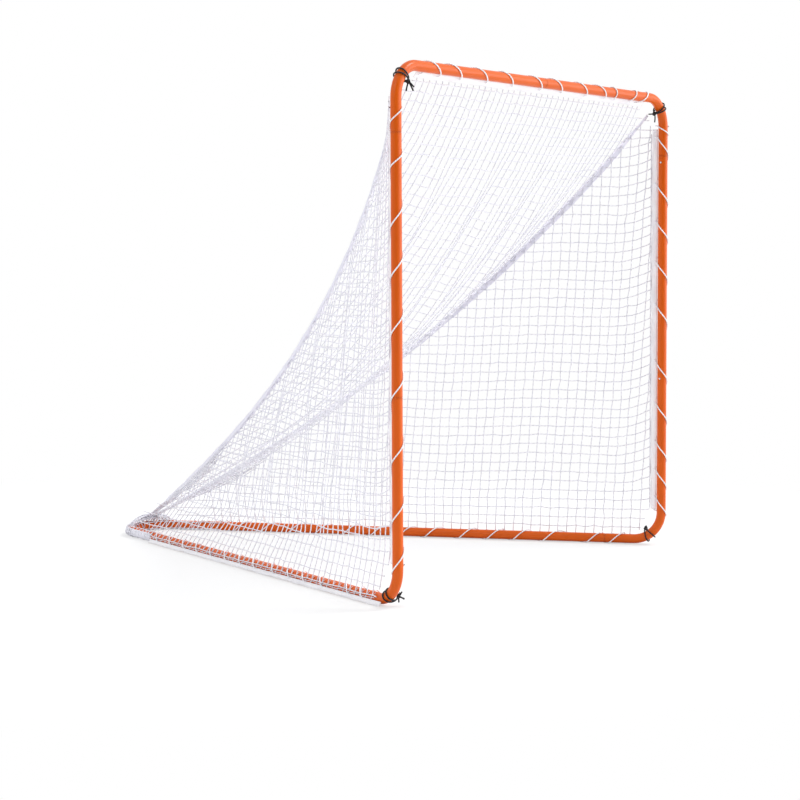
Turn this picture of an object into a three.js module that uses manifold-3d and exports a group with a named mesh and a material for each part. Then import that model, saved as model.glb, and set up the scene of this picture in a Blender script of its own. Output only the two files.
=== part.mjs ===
// A portable lacrosse goal: a knock-down frame of round steel tube with a laced net.
// Millimetres, +Z up. The mouth faces -Y and the two base rails meet at the rear, at +Y.
import * as THREE from "three";
import { mergeVertices } from "three/addons/utils/BufferGeometryUtils.js";
import Module from "manifold-3d";

const solidLibrary = await Module();
solidLibrary.setup();

// Frame sizes: a regulation goal is 6 ft by 6 ft inside the posts and 7 ft deep
const tubeDiameter = 38;
const tubeWall = 1.2;
const mouthClearWidth = 1829;
const mouthClearHeight = 1829;
const overallDepth = 2134;
const cornerBendRadius = 115;
const rearBendRadius = 150;
const tubeSides = 12;
const cornerBendSteps = 5;
const rearBendSteps = 8;

// Joints: places of the seams and the swaged spigots; the two rail tubes share what the bends leave
const crossbarToUpperSeam = 230;
const postTubeLength = 893;
const railStubToSeam = 235;
const rearLegLength = 98.1;
const spigotLength = 60;
const spigotClearance = 0.5;
const spigotWall = 1.2;
const seamGap = 1;
const swageDepth = 8;
const swageShoulder = 0.4;

// Snap buttons and their leaf springs
const buttonFromSeam = 28;
const buttonRadius = 3.9;
const buttonHoleRadius = 4.4;
const buttonStandOut = 3.6;
const buttonFlangeRadius = 4.7;
const buttonFlangeThickness = 0.9;
const buttonFlangeDrop = 0.9;
const buttonDomeHeight = 2.4;
const buttonSides = 10;
const springThickness = 0.9;
const springWidth = 8;
const springGap = 0.4;
const springReach = 8;
const springTipPast = 6;

// Cords, tapes and netting
const cordDiameter = 3.5;
const fitGap = 0.3;
const hemWidth = 25;
const hemThickness = 1.2;
const seamTapeWidth = 38;
const seamTapeThickness = 1;
const seamTapeClearance = 4;
const seamTapeEndWing = 5;
const netStrand = 3;
const netThickness = 2.4;
const netCells = 11;
const netInset = 4;

// Lacing: lengths of one turn, and how far a cord is cut flat where it lies on the ground
const crossbarTurn = 145;
const postTurn = 160;
const railTurn = 125.5;
const lacingHoleDistance = 33;
const lacingSlackShare = 0.083;
const cordFlatShare = 0.1;
const stepsPerTurn = 6;

// Hang of the net, read from the photograph
const seamSag = 195;
const seamSagPower = 0.821;
const seamDraw = 118;
const seamDrawPower = 0.678;
const seamTopBehindTube = 25;
const seamEndHeight = 45;
const seamEndBeforeRear = 21;
const seamNetStartShare = 0.01;
const seamNetEndShare = 0.97;
const backBelly = 120;
const columnLeanShares = [0.06, 0.18];

// Colours
const coatColour = 0xe8652c;
const steelColour = 0xc9ccd0;
const springColour = 0x8b8f94;
const netColour = 0xf2f1f5;
const tapeColour = 0xebe9f2;
const cordColour = 0xfafafa;
const tieColour = 0x16161a;

// Sizes that follow from the ones above
const fullTurn = 2 * Math.PI;
const tubeRadius = tubeDiameter / 2;
const boreRadius = tubeRadius - tubeWall;
const spigotRadius = boreRadius - spigotClearance;
const spigotBoreRadius = spigotRadius - spigotWall;
const flatShare = Math.cos(Math.PI / tubeSides);
const halfStepShare = Math.cos(Math.PI / stepsPerTurn);
const cordHalfFlat = cordDiameter / 2 - cordDiameter / 70;
const lacingRadius = (tubeRadius + fitGap) / halfStepShare + cordHalfFlat;
const railHeight = (lacingRadius + cordHalfFlat) * halfStepShare - cordDiameter * cordFlatShare;
const postX = (mouthClearWidth + tubeDiameter) / 2;
const crossbarHeight = mouthClearHeight + tubeRadius;
const rearTip = overallDepth - tubeDiameter;
const bendTopHeight = crossbarHeight - cornerBendRadius;
const bendFootHeight = railHeight + cornerBendRadius;
const up = new THREE.Vector3(0, 0, 1);
const across = new THREE.Vector3(1, 0, 0);
const backward = new THREE.Vector3(0, 1, 0);

// The rails turn inwards by the angle that makes them run into the rear bend
const railAngle = Math.atan2(rearBendRadius - rearTip, postX)
  + Math.acos(rearBendRadius / Math.hypot(postX, rearBendRadius - rearTip));
const railWay = new THREE.Vector3(-Math.sin(railAngle), Math.cos(railAngle), 0);
const outward = new THREE.Vector3(Math.cos(railAngle), Math.sin(railAngle), 0);
const railMeeting = postX / Math.tan(railAngle);
const railTangent = Math.hypot(postX, railMeeting) - rearBendRadius / Math.tan(railAngle);
const railTubeLength = (railTangent - rearLegLength - railStubToSeam) / 2;
const rearBendCentre = new THREE.Vector3(0, rearTip - rearBendRadius, railHeight);

// A point beside a rail: along it from the post, out from its vertical plane, and above the ground
function besideRail(along, out, height) {
  return new THREE.Vector3(postX, 0, height)
    .addScaledVector(railWay, along)
    .addScaledVector(outward, out);
}

// Solids: a mesh is turned into a solid to be cut or joined, and back
function solidOf(geometry) {
  const bare = geometry.clone();
  bare.deleteAttribute("normal");
  bare.deleteAttribute("uv");
  const merged = mergeVertices(bare, fitGap / 300);
  return new solidLibrary.Manifold(new solidLibrary.Mesh({
    numProp: 3,
    vertProperties: merged.attributes.position.array,
    triVerts: new Uint32Array(merged.index.array),
  }));
}

function geometryOf(solid) {
  const mesh = solid.getMesh();
  const geometry = new THREE.BufferGeometry();
  geometry.setAttribute("position", new THREE.BufferAttribute(new Float32Array(mesh.vertProperties), 3));
  geometry.setIndex(new THREE.BufferAttribute(new Uint32Array(mesh.triVerts), 1));
  const flat = geometry.toNonIndexed();
  flat.computeVertexNormals();
  return flat;
}

function frameMatrix(xAxis, yAxis, zAxis, origin) {
  return new THREE.Matrix4().makeBasis(xAxis, yAxis, zAxis).setPosition(origin);
}

// A matrix that stands a lathe's axis along a direction, with its local Z along a side direction
function axisMatrix(axis, side, origin) {
  const third = new THREE.Vector3().crossVectors(axis, side);
  return frameMatrix(third, axis, side, origin);
}

// Tube sections have a flat on each of the four sides
function turned(points) {
  const profile = points.map(([radius, along]) => new THREE.Vector2(radius, along));
  profile.push(profile[0].clone());
  return new THREE.LatheGeometry(profile, tubeSides, Math.PI / tubeSides);
}

// A straight tube: its male end is at 0 with the spigot below it, its open end is at the length
function straightTube(length) {
  return turned([
    [spigotBoreRadius, -spigotLength],
    [spigotRadius, -spigotLength],
    [spigotRadius, 0],
    [tubeRadius, 0],
    [tubeRadius, length],
    [boreRadius, length],
    [boreRadius, swageDepth],
    [spigotBoreRadius, swageDepth],
  ]);
}

// The swaged end of a bent tube, with the tube's end at 0 and the spigot below it
function swagedEnd() {
  const collarRadius = (tubeRadius * flatShare + boreRadius) / 2;
  return turned([
    [spigotBoreRadius, -spigotLength],
    [spigotRadius, -spigotLength],
    [spigotRadius, -swageShoulder],
    [collarRadius / flatShare, -swageShoulder],
    [collarRadius / flatShare, swageDepth],
    [spigotBoreRadius, swageDepth],
  ]);
}

// A path given by its stations, each passed through in turn
class SteppedPath extends THREE.Curve {
  constructor(stations) {
    super();
    this.stations = stations;
  }

  getPoint(share, target = new THREE.Vector3()) {
    const place = share * (this.stations.length - 1);
    const index = Math.min(Math.floor(place + Number.EPSILON * place), this.stations.length - 2);
    return target.lerpVectors(this.stations[index].at, this.stations[index + 1].at, place - index);
  }

  getPointAt(share, target) {
    return this.getPoint(share, target);
  }

  getTangentAt(share, target = new THREE.Vector3()) {
    return target.copy(this.stations[Math.round(share * (this.stations.length - 1))].way);
  }
}

function ringShape(outer, inner, sides) {
  const corner = (radius, index) => {
    const angle = ((index + 1 / 2) * fullTurn) / sides;
    return new THREE.Vector2(radius * Math.cos(angle), radius * Math.sin(angle));
  };
  const ring = (radius) => Array.from({ length: sides }, (_, index) => corner(radius, index));
  const shape = new THREE.Shape(ring(outer));
  shape.holes.push(new THREE.Path(ring(inner)));
  return shape;
}

// Stations of a bend from one direction to another about a centre
function bendStations(centre, fromWay, toWay, radius, steps) {
  const axis = new THREE.Vector3().crossVectors(fromWay, toWay).normalize();
  const angle = fromWay.angleTo(toWay);
  const start = new THREE.Vector3().crossVectors(fromWay, axis).multiplyScalar(radius);
  return Array.from({ length: steps + 1 }, (_, index) => {
    const turn = (angle * index) / steps;
    return {
      at: start.clone().applyAxisAngle(axis, turn).add(centre),
      way: fromWay.clone().applyAxisAngle(axis, turn),
    };
  });
}

// A bent tube between two ends, with swaged spigots on the ends that are listed as male
function bentTube(firstEnd, bend, lastEnd, maleEnds) {
  const stations = [
    { at: firstEnd, way: bend[0].way },
    ...bend,
    { at: lastEnd, way: bend[bend.length - 1].way },
  ];
  const pipe = new THREE.ExtrudeGeometry(ringShape(tubeRadius, boreRadius, tubeSides), {
    steps: stations.length - 1,
    extrudePath: new SteppedPath(stations),
  });
  return maleEnds.reduce((solid, isFirst) => {
    const inwards = isFirst ? bend[0].way.clone() : bend[bend.length - 1].way.clone().negate();
    const side = Math.abs(inwards.z) > 1 / 2 ? backward : up;
    const end = swagedEnd().applyMatrix4(axisMatrix(inwards, side, isFirst ? firstEnd : lastEnd));
    return solid.add(solidOf(end));
  }, solidOf(pipe));
}

// Joints: seam is the male tube's end, into the way that the spigot goes, out the way that the button faces
const upperSeamHeight = crossbarHeight - crossbarToUpperSeam;
const lowerSeamHeight = upperSeamHeight - postTubeLength;
const middleSeam = railStubToSeam + railTubeLength;
const rearSeam = middleSeam + railTubeLength;
const down = up.clone().negate();
const towardPost = railWay.clone().negate();
const sideJoints = {
  upper: { seam: new THREE.Vector3(postX, 0, upperSeamHeight), into: down, out: across.clone().negate() },
  lower: { seam: new THREE.Vector3(postX, 0, lowerSeamHeight), into: down, out: across.clone().negate() },
  front: { seam: besideRail(railStubToSeam, 0, railHeight), into: towardPost, out: up },
  middle: { seam: besideRail(middleSeam, 0, railHeight), into: towardPost, out: up },
  rear: { seam: besideRail(rearSeam, 0, railHeight), into: towardPost, out: up },
};
const crossbarJoint = {
  seam: new THREE.Vector3(0, 0, crossbarHeight),
  into: across.clone().negate(),
  out: down,
};

function jointMatrix(joint) {
  return frameMatrix(
    joint.into,
    new THREE.Vector3().crossVectors(joint.out, joint.into),
    joint.out,
    joint.seam,
  );
}

// The hole through both walls at a joint
function drilled(solid, joint) {
  const drill = new THREE.CylinderGeometry(buttonHoleRadius, buttonHoleRadius, tubeRadius, tubeSides);
  drill.rotateX(Math.PI / 2);
  drill.translate(buttonFromSeam, 0, tubeRadius);
  return solid.subtract(solidOf(drill.applyMatrix4(jointMatrix(joint))));
}

// The snap button: a domed pin on a flange that bears on the inside of the spigot
function snapButton() {
  const flangeTop = spigotBoreRadius * flatShare - buttonFlangeDrop;
  const flangeUnder = flangeTop - buttonFlangeThickness;
  const top = tubeRadius * flatShare + buttonStandOut;
  const shoulder = top - buttonDomeHeight;
  const profile = [
    [0, flangeUnder],
    [buttonFlangeRadius, flangeUnder],
    [buttonFlangeRadius, flangeTop],
    [buttonRadius, flangeTop],
    [buttonRadius, shoulder],
    [buttonRadius * Math.cos(Math.PI / 4), shoulder + buttonDomeHeight * Math.sin(Math.PI / 4)],
    [0, top],
  ];
  const pin = new THREE.LatheGeometry(profile.map(([r, z]) => new THREE.Vector2(r, z)), buttonSides);
  pin.rotateX(Math.PI / 2);
  return pin.translate(buttonFromSeam, 0, 0);
}

// The leaf spring: a V of flat steel, one leg under the button and one against the far wall
function leafSpring() {
  const underButton = spigotBoreRadius * flatShare - buttonFlangeDrop - buttonFlangeThickness - springGap;
  const farWall = -(spigotBoreRadius * flatShare - springGap) * Math.cos(Math.asin(1 / 4));
  const tip = buttonFromSeam + springTipPast;
  const knee = buttonFromSeam - springTipPast;
  const bow = springThickness * 2;
  const outside = [
    [tip, underButton],
    [knee, underButton],
    [-springReach + bow, bow],
    [-springReach, 0],
    [-springReach + bow, -bow],
    [knee, farWall],
    [tip, farWall],
  ];
  const inside = [
    [tip, farWall + springThickness],
    [knee + springThickness, farWall + springThickness],
    [-springReach + bow + springThickness, -bow + springThickness],
    [-springReach + springThickness, 0],
    [-springReach + bow + springThickness, bow - springThickness],
    [knee + springThickness, underButton - springThickness],
    [tip, underButton - springThickness],
  ];
  const shape = new THREE.Shape([...outside, ...inside].map(([x, y]) => new THREE.Vector2(x, y)));
  const leaf = new THREE.ExtrudeGeometry(shape, { depth: springWidth, bevelEnabled: false, steps: 1 });
  leaf.translate(0, 0, -springWidth / 2);
  return leaf.rotateX(Math.PI / 2);
}

// Cords: rings of four corners, each turned to face a given side, joined into one closed tube
function cordGeometry(points, sides, halfFlat, hand = 1) {
  const cornerRadius = halfFlat * Math.SQRT2;
  const corners = 4;
  const positions = [];
  const indices = [];
  points.forEach((point, index) => {
    const before = points[Math.max(index - 1, 0)];
    const after = points[Math.min(index + 1, points.length - 1)];
    const way = after.clone().sub(point).normalize().add(point.clone().sub(before).normalize()).normalize();
    const side = sides[index].clone().addScaledVector(way, -sides[index].dot(way)).normalize();
    const third = new THREE.Vector3().crossVectors(way, side);
    for (let corner = 0; corner < corners; corner += 1) {
      const angle = ((corner + 1 / 2) * fullTurn) / corners;
      const at = point.clone()
        .addScaledVector(side, cornerRadius * Math.cos(angle))
        .addScaledVector(third, cornerRadius * Math.sin(angle));
      positions.push(at.x, at.y, at.z);
    }
  });
  const rings = points.length;
  for (let ring = 0; ring < rings - 1; ring += 1) {
    for (let corner = 0; corner < corners; corner += 1) {
      const next = (corner + 1) % corners;
      const low = ring * corners;
      const high = low + corners;
      if (hand > 0) {
        indices.push(low + corner, low + next, high + next, low + corner, high + next, high + corner);
      } else {
        indices.push(low + corner, low + next, high + corner, low + next, high + next, high + corner);
      }
    }
  }
  const last = (rings - 1) * corners;
  indices.push(0, 2, 1, 0, 3, 2);
  indices.push(last, last + 1, last + 2, last, last + 2, last + 3);
  const geometry = new THREE.BufferGeometry();
  geometry.setAttribute("position", new THREE.Float32BufferAttribute(positions, 3));
  geometry.setIndex(indices);
  const loose = geometry.toNonIndexed();
  loose.computeVertexNormals();
  return loose;
}

// The least gap of a cord to itself, measured between points that are a turn's share or more apart
function leastGap(points, apart, halfFlat) {
  let least = Infinity;
  points.forEach((point, index) => {
    for (let other = index + apart; other < points.length - 1; other += 1) {
      const near = new THREE.Line3(points[other], points[other + 1]).closestPointToPoint(point, true, new THREE.Vector3());
      least = Math.min(least, near.distanceTo(point));
    }
  });
  return least - 2 * halfFlat;
}

// Lacing round a straight tube: the hem side is drawn out so that the cord passes through the hem
function lacingRun(run) {
  const third = new THREE.Vector3().crossVectors(run.way, run.hemSide).multiplyScalar(run.hand);
  const count = run.turns * stepsPerTurn;
  const points = [];
  const sides = [];
  for (let step = 0; step <= count; step += 1) {
    const turns = (step + run.startStep) / stepsPerTurn;
    const angle = fullTurn * turns;
    const radius = run.radii[(step + run.ringStart) % stepsPerTurn];
    const along = run.start + run.pitch * (step / stepsPerTurn + lacingSlackShare * Math.sin(angle));
    const side = run.hemSide.clone().multiplyScalar(Math.cos(angle)).addScaledVector(third, Math.sin(angle));
    points.push(run.origin.clone().addScaledVector(run.way, along).addScaledVector(side, radius));
    sides.push(side);
  }
  const lead = (from, next) => from.clone().sub(next).setLength(cordDiameter).add(from);
  points.unshift(lead(points[0], points[1]));
  points.push(lead(points[count + 1], points[count]));
  sides.unshift(sides[0]);
  sides.push(sides[count + 1]);
  return { points, sides, firstStep: 1, hand: run.hand };
}

// The segments of a lacing that cross the hem, one a turn
function hemCrossings(lacing, crossStep) {
  const crossings = [];
  for (let index = lacing.firstStep + crossStep; index + 1 < lacing.points.length - 1; index += stepsPerTurn) {
    crossings.push([lacing.points[index], lacing.points[index + 1]]);
  }
  return crossings;
}

// A hem: a flat tape with a hole for each crossing of the lacing
function hemGeometry(start, end, innerEdge, outerEdge, crossings) {
  const length = start.distanceTo(end);
  const along = end.clone().sub(start).normalize();
  const wide = outerEdge.clone().sub(innerEdge);
  const width = wide.length();
  wide.normalize();
  const thick = new THREE.Vector3().crossVectors(along, wide);
  const middle = start.clone().lerp(end, 1 / 2).add(innerEdge).addScaledVector(wide, width / 2);
  const tape = new THREE.BoxGeometry(length, width, hemThickness);
  tape.applyMatrix4(frameMatrix(along, wide, thick, middle));
  const holeRadius = (cordHalfFlat + fitGap * 2) * Math.SQRT2;
  return geometryOf(crossings.reduce((solid, [from, to]) => {
    const way = to.clone().sub(from);
    const punch = new THREE.CylinderGeometry(holeRadius, holeRadius, way.length(), 4, 1, false, Math.PI / 4);
    const side = along.clone().addScaledVector(way, -along.dot(way) / way.lengthSq()).normalize();
    punch.applyMatrix4(axisMatrix(way.clone().normalize(), side, from.clone().lerp(to, 1 / 2)));
    return solid.subtract(solidOf(punch));
  }, solidOf(tape)));
}

// The seam line from a top corner to the rear, by its share of the way
const seamTop = new THREE.Vector3(
  postX - cornerBendRadius * (1 - Math.SQRT1_2),
  seamTopBehindTube,
  crossbarHeight - cornerBendRadius * (1 - Math.SQRT1_2),
);
const seamEnd = new THREE.Vector3(0, rearTip - seamEndBeforeRear, seamEndHeight);

function seamPoint(share) {
  const inward = new THREE.Vector3(-(seamEnd.y - seamTop.y), seamEnd.x - seamTop.x, 0).normalize();
  return seamTop.clone().lerp(seamEnd, share)
    .addScaledVector(up, -seamSag * Math.sin(Math.PI * share ** seamSagPower))
    .addScaledVector(inward, seamDraw * Math.sin(Math.PI * share ** seamDrawPower));
}

function railCoordinates(point) {
  const from = point.clone().sub(new THREE.Vector3(postX, 0, 0));
  return { along: from.dot(railWay), out: from.dot(outward), height: point.z };
}

// The share of the seam that is a given way back along the rail, found by halving
function shareAtAlong(along) {
  let low = 0;
  let high = 1;
  const halvings = 40;
  for (let turn = 0; turn < halvings; turn += 1) {
    const middle = (low + high) / 2;
    if (railCoordinates(seamPoint(middle)).along < along) low = middle;
    else high = middle;
  }
  return (low + high) / 2;
}

// Seam nodes, evenly spaced along the rail
const firstAlong = railCoordinates(seamPoint(seamNetStartShare)).along;
const lastAlong = railCoordinates(seamPoint(seamNetEndShare)).along;
const seamShares = Array.from({ length: netCells + 1 }, (_, index) => (
  shareAtAlong(firstAlong + ((lastAlong - firstAlong) * index) / netCells)
));
const seamNodes = seamShares.map(seamPoint);

// A thin plate with a hole in each mesh of a graph of strands
function netPlate(nodes, edges, facing) {
  const links = nodes.map(() => []);
  edges.forEach(([from, to]) => {
    links[from].push(to);
    links[to].push(from);
  });
  const positions = [];
  const indices = [];
  const cornerAt = nodes.map((node, index) => {
    const rough = new THREE.Vector3().crossVectors(facing, Math.abs(facing.z) > Math.SQRT1_2 ? across : up).normalize();
    const other = new THREE.Vector3().crossVectors(facing, rough);
    const bearing = (to) => {
      const way = nodes[to].clone().sub(node);
      return Math.atan2(way.dot(other), way.dot(rough));
    };
    links[index].sort((first, second) => bearing(first) - bearing(second));
    const ways = links[index].map((to) => nodes[to].clone().sub(node).normalize());
    const normal = new THREE.Vector3();
    ways.forEach((way, place) => {
      const cross = new THREE.Vector3().crossVectors(way, ways[(place + 1) % ways.length]);
      if (cross.dot(facing) > 0) normal.add(cross);
    });
    normal.normalize();
    return ways.map((way, place) => {
      const next = ways[(place + 1) % ways.length];
      const flatWay = way.clone().addScaledVector(normal, -way.dot(normal)).normalize();
      const flatNext = next.clone().addScaledVector(normal, -next.dot(normal)).normalize();
      const left = new THREE.Vector3().crossVectors(normal, flatWay);
      const angle = Math.atan2(flatNext.dot(left), flatNext.dot(flatWay));
      const open = angle > 0 ? angle : angle + fullTurn;
      const middle = flatWay.multiplyScalar(Math.cos(open / 2)).addScaledVector(left, Math.sin(open / 2));
      const corner = node.clone().addScaledVector(middle, netStrand / 2 / Math.sin(open / 2));
      const high = corner.clone().addScaledVector(normal, netThickness / 2);
      const low = corner.clone().addScaledVector(normal, -netThickness / 2);
      positions.push(high.x, high.y, high.z, low.x, low.y, low.z);
      return positions.length / 3 - 2;
    });
  });
  const quad = (a, b, c, d) => indices.push(a, b, c, a, c, d);
  cornerAt.forEach((corners) => {
    for (let place = 1; place + 1 < corners.length; place += 1) {
      indices.push(corners[0], corners[place], corners[place + 1]);
      indices.push(corners[0] + 1, corners[place + 1] + 1, corners[place] + 1);
    }
  });
  const sidesOf = (from, to) => {
    const corners = cornerAt[from];
    const place = links[from].indexOf(to);
    return { left: corners[place], right: corners[(place + corners.length - 1) % corners.length] };
  };
  edges.forEach(([from, to]) => {
    const near = sidesOf(from, to);
    const far = sidesOf(to, from);
    quad(near.right, far.left, far.right, near.left);
    quad(near.right + 1, near.left + 1, far.right + 1, far.left + 1);
    quad(near.right + 1, far.left + 1, far.left, near.right);
    quad(far.right + 1, near.left + 1, near.left, far.right);
  });
  const geometry = new THREE.BufferGeometry();
  geometry.setAttribute("position", new THREE.Float32BufferAttribute(positions, 3));
  geometry.setIndex(indices);
  const loose = geometry.toNonIndexed();
  loose.computeVertexNormals();
  return loose;
}

// The hem edges that the net hangs from, and the height of its lowest row beside a rail
const hemInner = tubeRadius + fitGap;
const hemOuter = hemInner + hemWidth;
const netFromHem = fitGap * 3 + netStrand / 2;
const postHemTop = bendTopHeight - hemThickness * 5;
const postHemFoot = bendFootHeight + cordDiameter * 4;
const railNetOut = tubeRadius + fitGap + netThickness / 2 + hemThickness / 10;
const railNetHeight = railHeight + tubeRadius * 0.4;
const crossbarHemWay = new THREE.Vector3(0, 0.62, -0.78).normalize();
const backFacing = new THREE.Vector3(0, seamTop.z - seamEnd.z, seamEnd.y - seamTop.y).normalize();

// Heights and places of the side net: a row ends at each seam node and a column hangs from it
const seamPlaces = seamNodes.map(railCoordinates);
const footNode = besideRail(hemOuter + netFromHem + hemWidth * 2.4, railNetOut, railNetHeight);
const topPostNode = besideRail(hemOuter + netFromHem, 0, postHemTop);
const lowPostNode = besideRail(hemOuter + netFromHem, 0, postHemFoot);

function sideNode(row, column) {
  const seam = seamPlaces[row];
  if (column === 0) return besideRail(hemOuter + netFromHem, 0, seam.height);
  const top = seamPlaces[column];
  const lean = THREE.MathUtils.lerp(...columnLeanShares, column / netCells);
  const isLast = row === netCells;
  const height = isLast ? railNetHeight : seam.height;
  const along = top.along + lean * (top.height - height);
  if (isLast) return besideRail(along, railNetOut, height);
  const share = (along - hemOuter) / (seam.along - hemOuter);
  return besideRail(along, seam.out * share ** 1.2, height);
}

// Directions of the two nets at a seam node, square to the seam
function seamWings(index) {
  const at = seamNodes[index];
  const before = seamNodes[Math.max(index - 1, 0)];
  const after = seamNodes[Math.min(index + 1, netCells)];
  const way = after.clone().sub(at).normalize().add(at.clone().sub(before).normalize()).normalize();
  const inPlane = (first, second) => {
    const normal = new THREE.Vector3().crossVectors(first, second).normalize();
    const wing = new THREE.Vector3().crossVectors(normal, way).normalize();
    return wing.dot(first.clone().normalize().add(second.clone().normalize())) > 0 ? wing : wing.negate();
  };
  const sideRow = index > 0
    ? sideNode(index, index - 1).sub(at)
    : topPostNode.clone().sub(at);
  const sideColumn = index < netCells - 1
    ? sideNode(index + 1, Math.max(index, 1)).sub(at)
    : sideNode(netCells, Math.min(index, netCells - 1)).sub(at);
  const backRow = backNode(index, index + 1, 1).sub(at);
  const backColumn = backNode(Math.max(index - 1, 0), Math.max(index, 1), 1).sub(at);
  const side = index > 0 && index < netCells
    ? inPlane(sideRow, sideColumn)
    : inPlane(index > 0 ? sideColumn : sideRow, way);
  const back = index > 0 && index < netCells
    ? inPlane(backRow, backColumn)
    : inPlane(index > 0 ? backColumn : backRow, way);
  return { at, way, side, back };
}

// The back net: rows between the two seams, hung in a belly, and columns up to the crossbar hem
function backNode(row, column, hand) {
  const x = column >= netCells ? 0 : hand * seamNodes[column].x;
  if (row === 0) {
    const edge = crossbarHemWay.clone().multiplyScalar(hemOuter + netFromHem);
    return new THREE.Vector3(x, edge.y, crossbarHeight + edge.z);
  }
  const seam = seamNodes[row];
  const share = row === netCells ? 1 : Math.min(1, Math.abs(x / seam.x));
  const belly = backBelly * Math.sin((Math.PI * row) / netCells) * (1 - share * share);
  return new THREE.Vector3(x, seam.y, seam.z).addScaledVector(backFacing, -belly);
}

const wings = seamNodes.map((_, index) => seamWings(index));

function sideNet() {
  const nodes = [];
  const edges = [];
  const names = new Map();
  const add = (name, point) => {
    names.set(name, nodes.length);
    nodes.push(point);
  };
  const link = (first, second) => edges.push([names.get(first), names.get(second)]);
  seamNodes.forEach((at, index) => add("seam" + index, at.clone().addScaledVector(wings[index].side, netInset)));
  add("top", topPostNode);
  add("low", lowPostNode);
  add("foot", footNode);
  const rearOver = besideRail(rearSeam - hemWidth * 2.6, railNetOut * 0.75, railHeight + railNetOut * 0.8);
  const rearTop = besideRail(rearSeam + hemWidth / 2, 0, railHeight + railNetOut + netThickness);
  add("rearOver", rearOver);
  add("rearTop", rearTop);
  for (let row = 1; row <= netCells; row += 1) {
    for (let column = 0; column < row; column += 1) {
      if (row < netCells || column > 0) add(row + "_" + column, sideNode(row, column));
    }
  }
  for (let row = 1; row < netCells; row += 1) {
    for (let column = 1; column < row; column += 1) link(row + "_" + (column - 1), row + "_" + column);
    link(row + "_" + (row - 1), "seam" + row);
  }
  for (let column = 0; column < netCells; column += 1) {
    const isPost = column === 0;
    if (!isPost) link("seam" + column, (column + 1) + "_" + column);
    const lowest = isPost ? netCells - 1 : netCells;
    for (let row = column + 1; row < lowest; row += 1) link(row + "_" + column, (row + 1) + "_" + column);
  }
  link("seam0", "top");
  link("top", "1_0");
  link((netCells - 1) + "_0", "low");
  link("low", "foot");
  link("foot", netCells + "_1");
  for (let column = 2; column < netCells; column += 1) {
    link(netCells + "_" + (column - 1), netCells + "_" + column);
  }
  link(netCells + "_" + (netCells - 1), "rearOver");
  link("rearOver", "rearTop");
  link("rearTop", "seam" + netCells);
  for (let index = 0; index < netCells; index += 1) link("seam" + index, "seam" + (index + 1));
  return netPlate(nodes, edges, outward);
}

function backNet() {
  const nodes = [];
  const edges = [];
  const names = new Map();
  const add = (name, point) => {
    names.set(name, nodes.length);
    nodes.push(point);
  };
  const link = (first, second) => edges.push([names.get(first), names.get(second)]);
  const mirrored = (point) => new THREE.Vector3(-point.x, point.y, point.z);
  const hands = [["l", -1], ["r", 1]];
  for (let row = 0; row < netCells; row += 1) {
    const seamAt = seamNodes[row].clone().addScaledVector(wings[row].back, netInset);
    add(row + "r" + row, seamAt);
    add(row + "l" + row, mirrored(seamAt));
    hands.forEach(([hand, sign]) => {
      for (let column = row + 1; column < netCells; column += 1) {
        add(row + hand + column, backNode(row, column, sign));
      }
    });
    add(row + "m", backNode(row, netCells, 1));
  }
  const rearNode = new THREE.Vector3(0, seamNodes[netCells].y - hemWidth / 2, seamNodes[netCells].z - hemWidth / 4);
  add("rear", rearNode);
  for (let row = 0; row < netCells; row += 1) {
    hands.forEach(([hand]) => {
      for (let column = row; column < netCells - 1; column += 1) {
        link(row + hand + column, row + hand + (column + 1));
      }
      link(row + hand + (netCells - 1), row + "m");
      if (row < netCells - 1) {
        for (let column = row + 1; column < netCells; column += 1) {
          link(row + hand + column, (row + 1) + hand + column);
        }
        link(row + hand + row, (row + 1) + hand + (row + 1));
      }
    });
    link(row + "m", row < netCells - 1 ? (row + 1) + "m" : "rear");
  }
  hands.forEach(([hand]) => link((netCells - 1) + hand + (netCells - 1), "rear"));
  return netPlate(nodes, edges, backFacing);
}

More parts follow.
